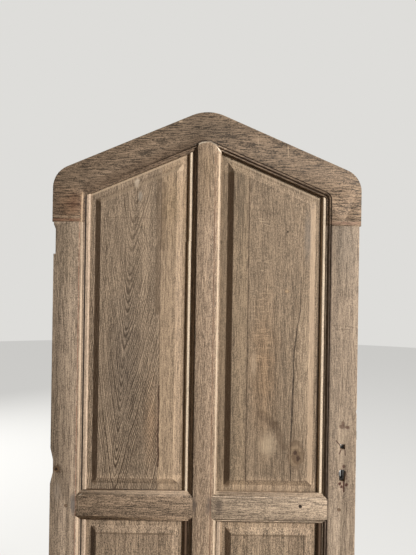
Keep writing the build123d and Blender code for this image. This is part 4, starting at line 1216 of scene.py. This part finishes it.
@dataclass
class Studio:
    """The plain floor, the soft lamps and the camera."""

    eye: Point = (0.0065, -1.325, 1.494)
    sensor: float = 36.0
    lens_share: float = 470 / 416
    shift_y: float = 0.0398
    roll: float = math.radians(0.89)
    lamps: tuple[tuple[str, Point, float], ...] = (
        ("key lamp", (4.5, -3.0, 3.0), 590.0),
        ("back lamp", (-3.4, 3.4, 3.2), 480.0),
    )
    lamp_size: tuple[float, float] = (1.2, 1.4)
    aim: Point = (0.0, 0.0, 1.35)
    ambient: float = 0.032
    ambient_colour: Colour = tone(255, 232, 204)
    backdrop: Colour = tone(222, 221, 218)
    floor_radius: float = 14.0
    floor_z: float = -0.0005
    floor_glow: float = 0.8
    floor_shade: float = 0.22
    floor_bounce: Colour = tone(92, 84, 74)

    def build(self) -> None:
        """Set up the floor, the light and the camera."""
        bpy.context.scene.view_settings.view_transform = "Standard"
        self.camera()
        self.floor()
        self.world()
        for lamp in self.lamps:
            self.lamp(*lamp)

    def camera(self) -> None:
        """Stand the camera square to the leaf, rolled a little as the picture is."""
        data = bpy.data.cameras.new("camera")
        data.sensor_fit = "HORIZONTAL"
        data.sensor_width = self.sensor
        data.lens = self.sensor * self.lens_share
        data.shift_y = self.shift_y
        data.clip_start = 0.01
        camera = bpy.data.objects.new("camera", data)
        bpy.context.scene.collection.objects.link(camera)
        right = Vector((math.cos(self.roll), 0.0, math.sin(self.roll)))
        back = Vector((0.0, -1.0, 0.0))
        turn = Matrix((right, back.cross(right), back)).transposed().to_4x4()
        camera.matrix_world = Matrix.Translation(self.eye) @ turn
        bpy.context.scene.camera = camera

    def rays(self, graph: Graph, *kinds: str) -> Socket:
        """Tell the rays of some kinds from all others.

        Args:
            graph: Graph that asks.
            *kinds: Kinds of ray, as the Light Path node names them.

        Returns:
            The socket that holds 1 for rays of those kinds.
        """
        path = graph.add("ShaderNodeLightPath").outputs
        found, *others = (path[f"Is {kind} Ray"] for kind in kinds)
        for other in others:
            found = graph.math("MAXIMUM", found, other)
        return found

    def floor(self) -> None:
        """Lay a plain pale floor that keeps the leaf's shadow and throws little light back at it."""
        bpy.ops.object.select_all(action="DESELECT")
        form = {"vertices": 96, "radius": self.floor_radius, "fill_type": "NGON"}
        bpy.ops.mesh.primitive_circle_add(location=(0.0, 0.0, self.floor_z), **form)
        floor = bpy.context.active_object
        floor.name = "floor"
        material, graph = start_material("pale floor")
        seen = self.rays(graph, "Camera", "Glossy")
        shaded = graph.add("ShaderNodeBsdfDiffuse", lit(self.backdrop, self.floor_shade))
        glow = graph.add("ShaderNodeEmission", self.backdrop, self.floor_glow)
        pale = graph.add("ShaderNodeAddShader", shaded.outputs[0], glow.outputs[0])
        dim = graph.add("ShaderNodeBsdfDiffuse", self.floor_bounce)
        both = graph.add("ShaderNodeMixShader", seen, dim.outputs[0], pale.outputs[0])
        graph.add("ShaderNodeOutputMaterial", both.outputs[0])
        floor.data.materials.append(material)

    def world(self) -> None:
        """Fill the room with a weak even light, behind a pale backdrop."""
        world = bpy.data.worlds.new("room")
        bpy.context.scene.world = world
        world.use_nodes = True
        world.node_tree.nodes.clear()
        graph = Graph(world.node_tree)
        seen = self.rays(graph, "Camera", "Glossy", "Transmission")
        room = graph.add("ShaderNodeBackground", self.ambient_colour, self.ambient)
        back = graph.add("ShaderNodeBackground", self.backdrop)
        both = graph.add("ShaderNodeMixShader", seen, room.outputs[0], back.outputs[0])
        graph.add("ShaderNodeOutputWorld", both.outputs[0])

    def lamp(self, name: str, place: Point, power: float) -> None:
        """Hang a soft lamp that looks at the middle of the leaf.

        Args:
            name: Name of the lamp.
            place: Where it hangs.
            power: Its power, in watts.
        """
        data = bpy.data.lights.new(name, "AREA")
        data.shape = "RECTANGLE"
        data.size, data.size_y = self.lamp_size
        data.energy = power
        lamp = bpy.data.objects.new(name, data)
        bpy.context.scene.collection.objects.link(lamp)
        aim = Vector(self.aim) - Vector(place)
        lamp.matrix_world = Matrix.Translation(place) @ aim.to_track_quat("-Z", "Y").to_matrix().to_4x4()


def main() -> None:
    """Build the leaf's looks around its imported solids."""
    logging.basicConfig(level=logging.INFO, format="%(message)s")
    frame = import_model()
    nodes = frame["nodes"]
    Studio().build()
    FrameMembers(nodes).build()
    PanelBoards(nodes).build()
    LooseParts(nodes).build()
    MortiseLock(nodes).build()


if __name__ == "__main__":
    main()
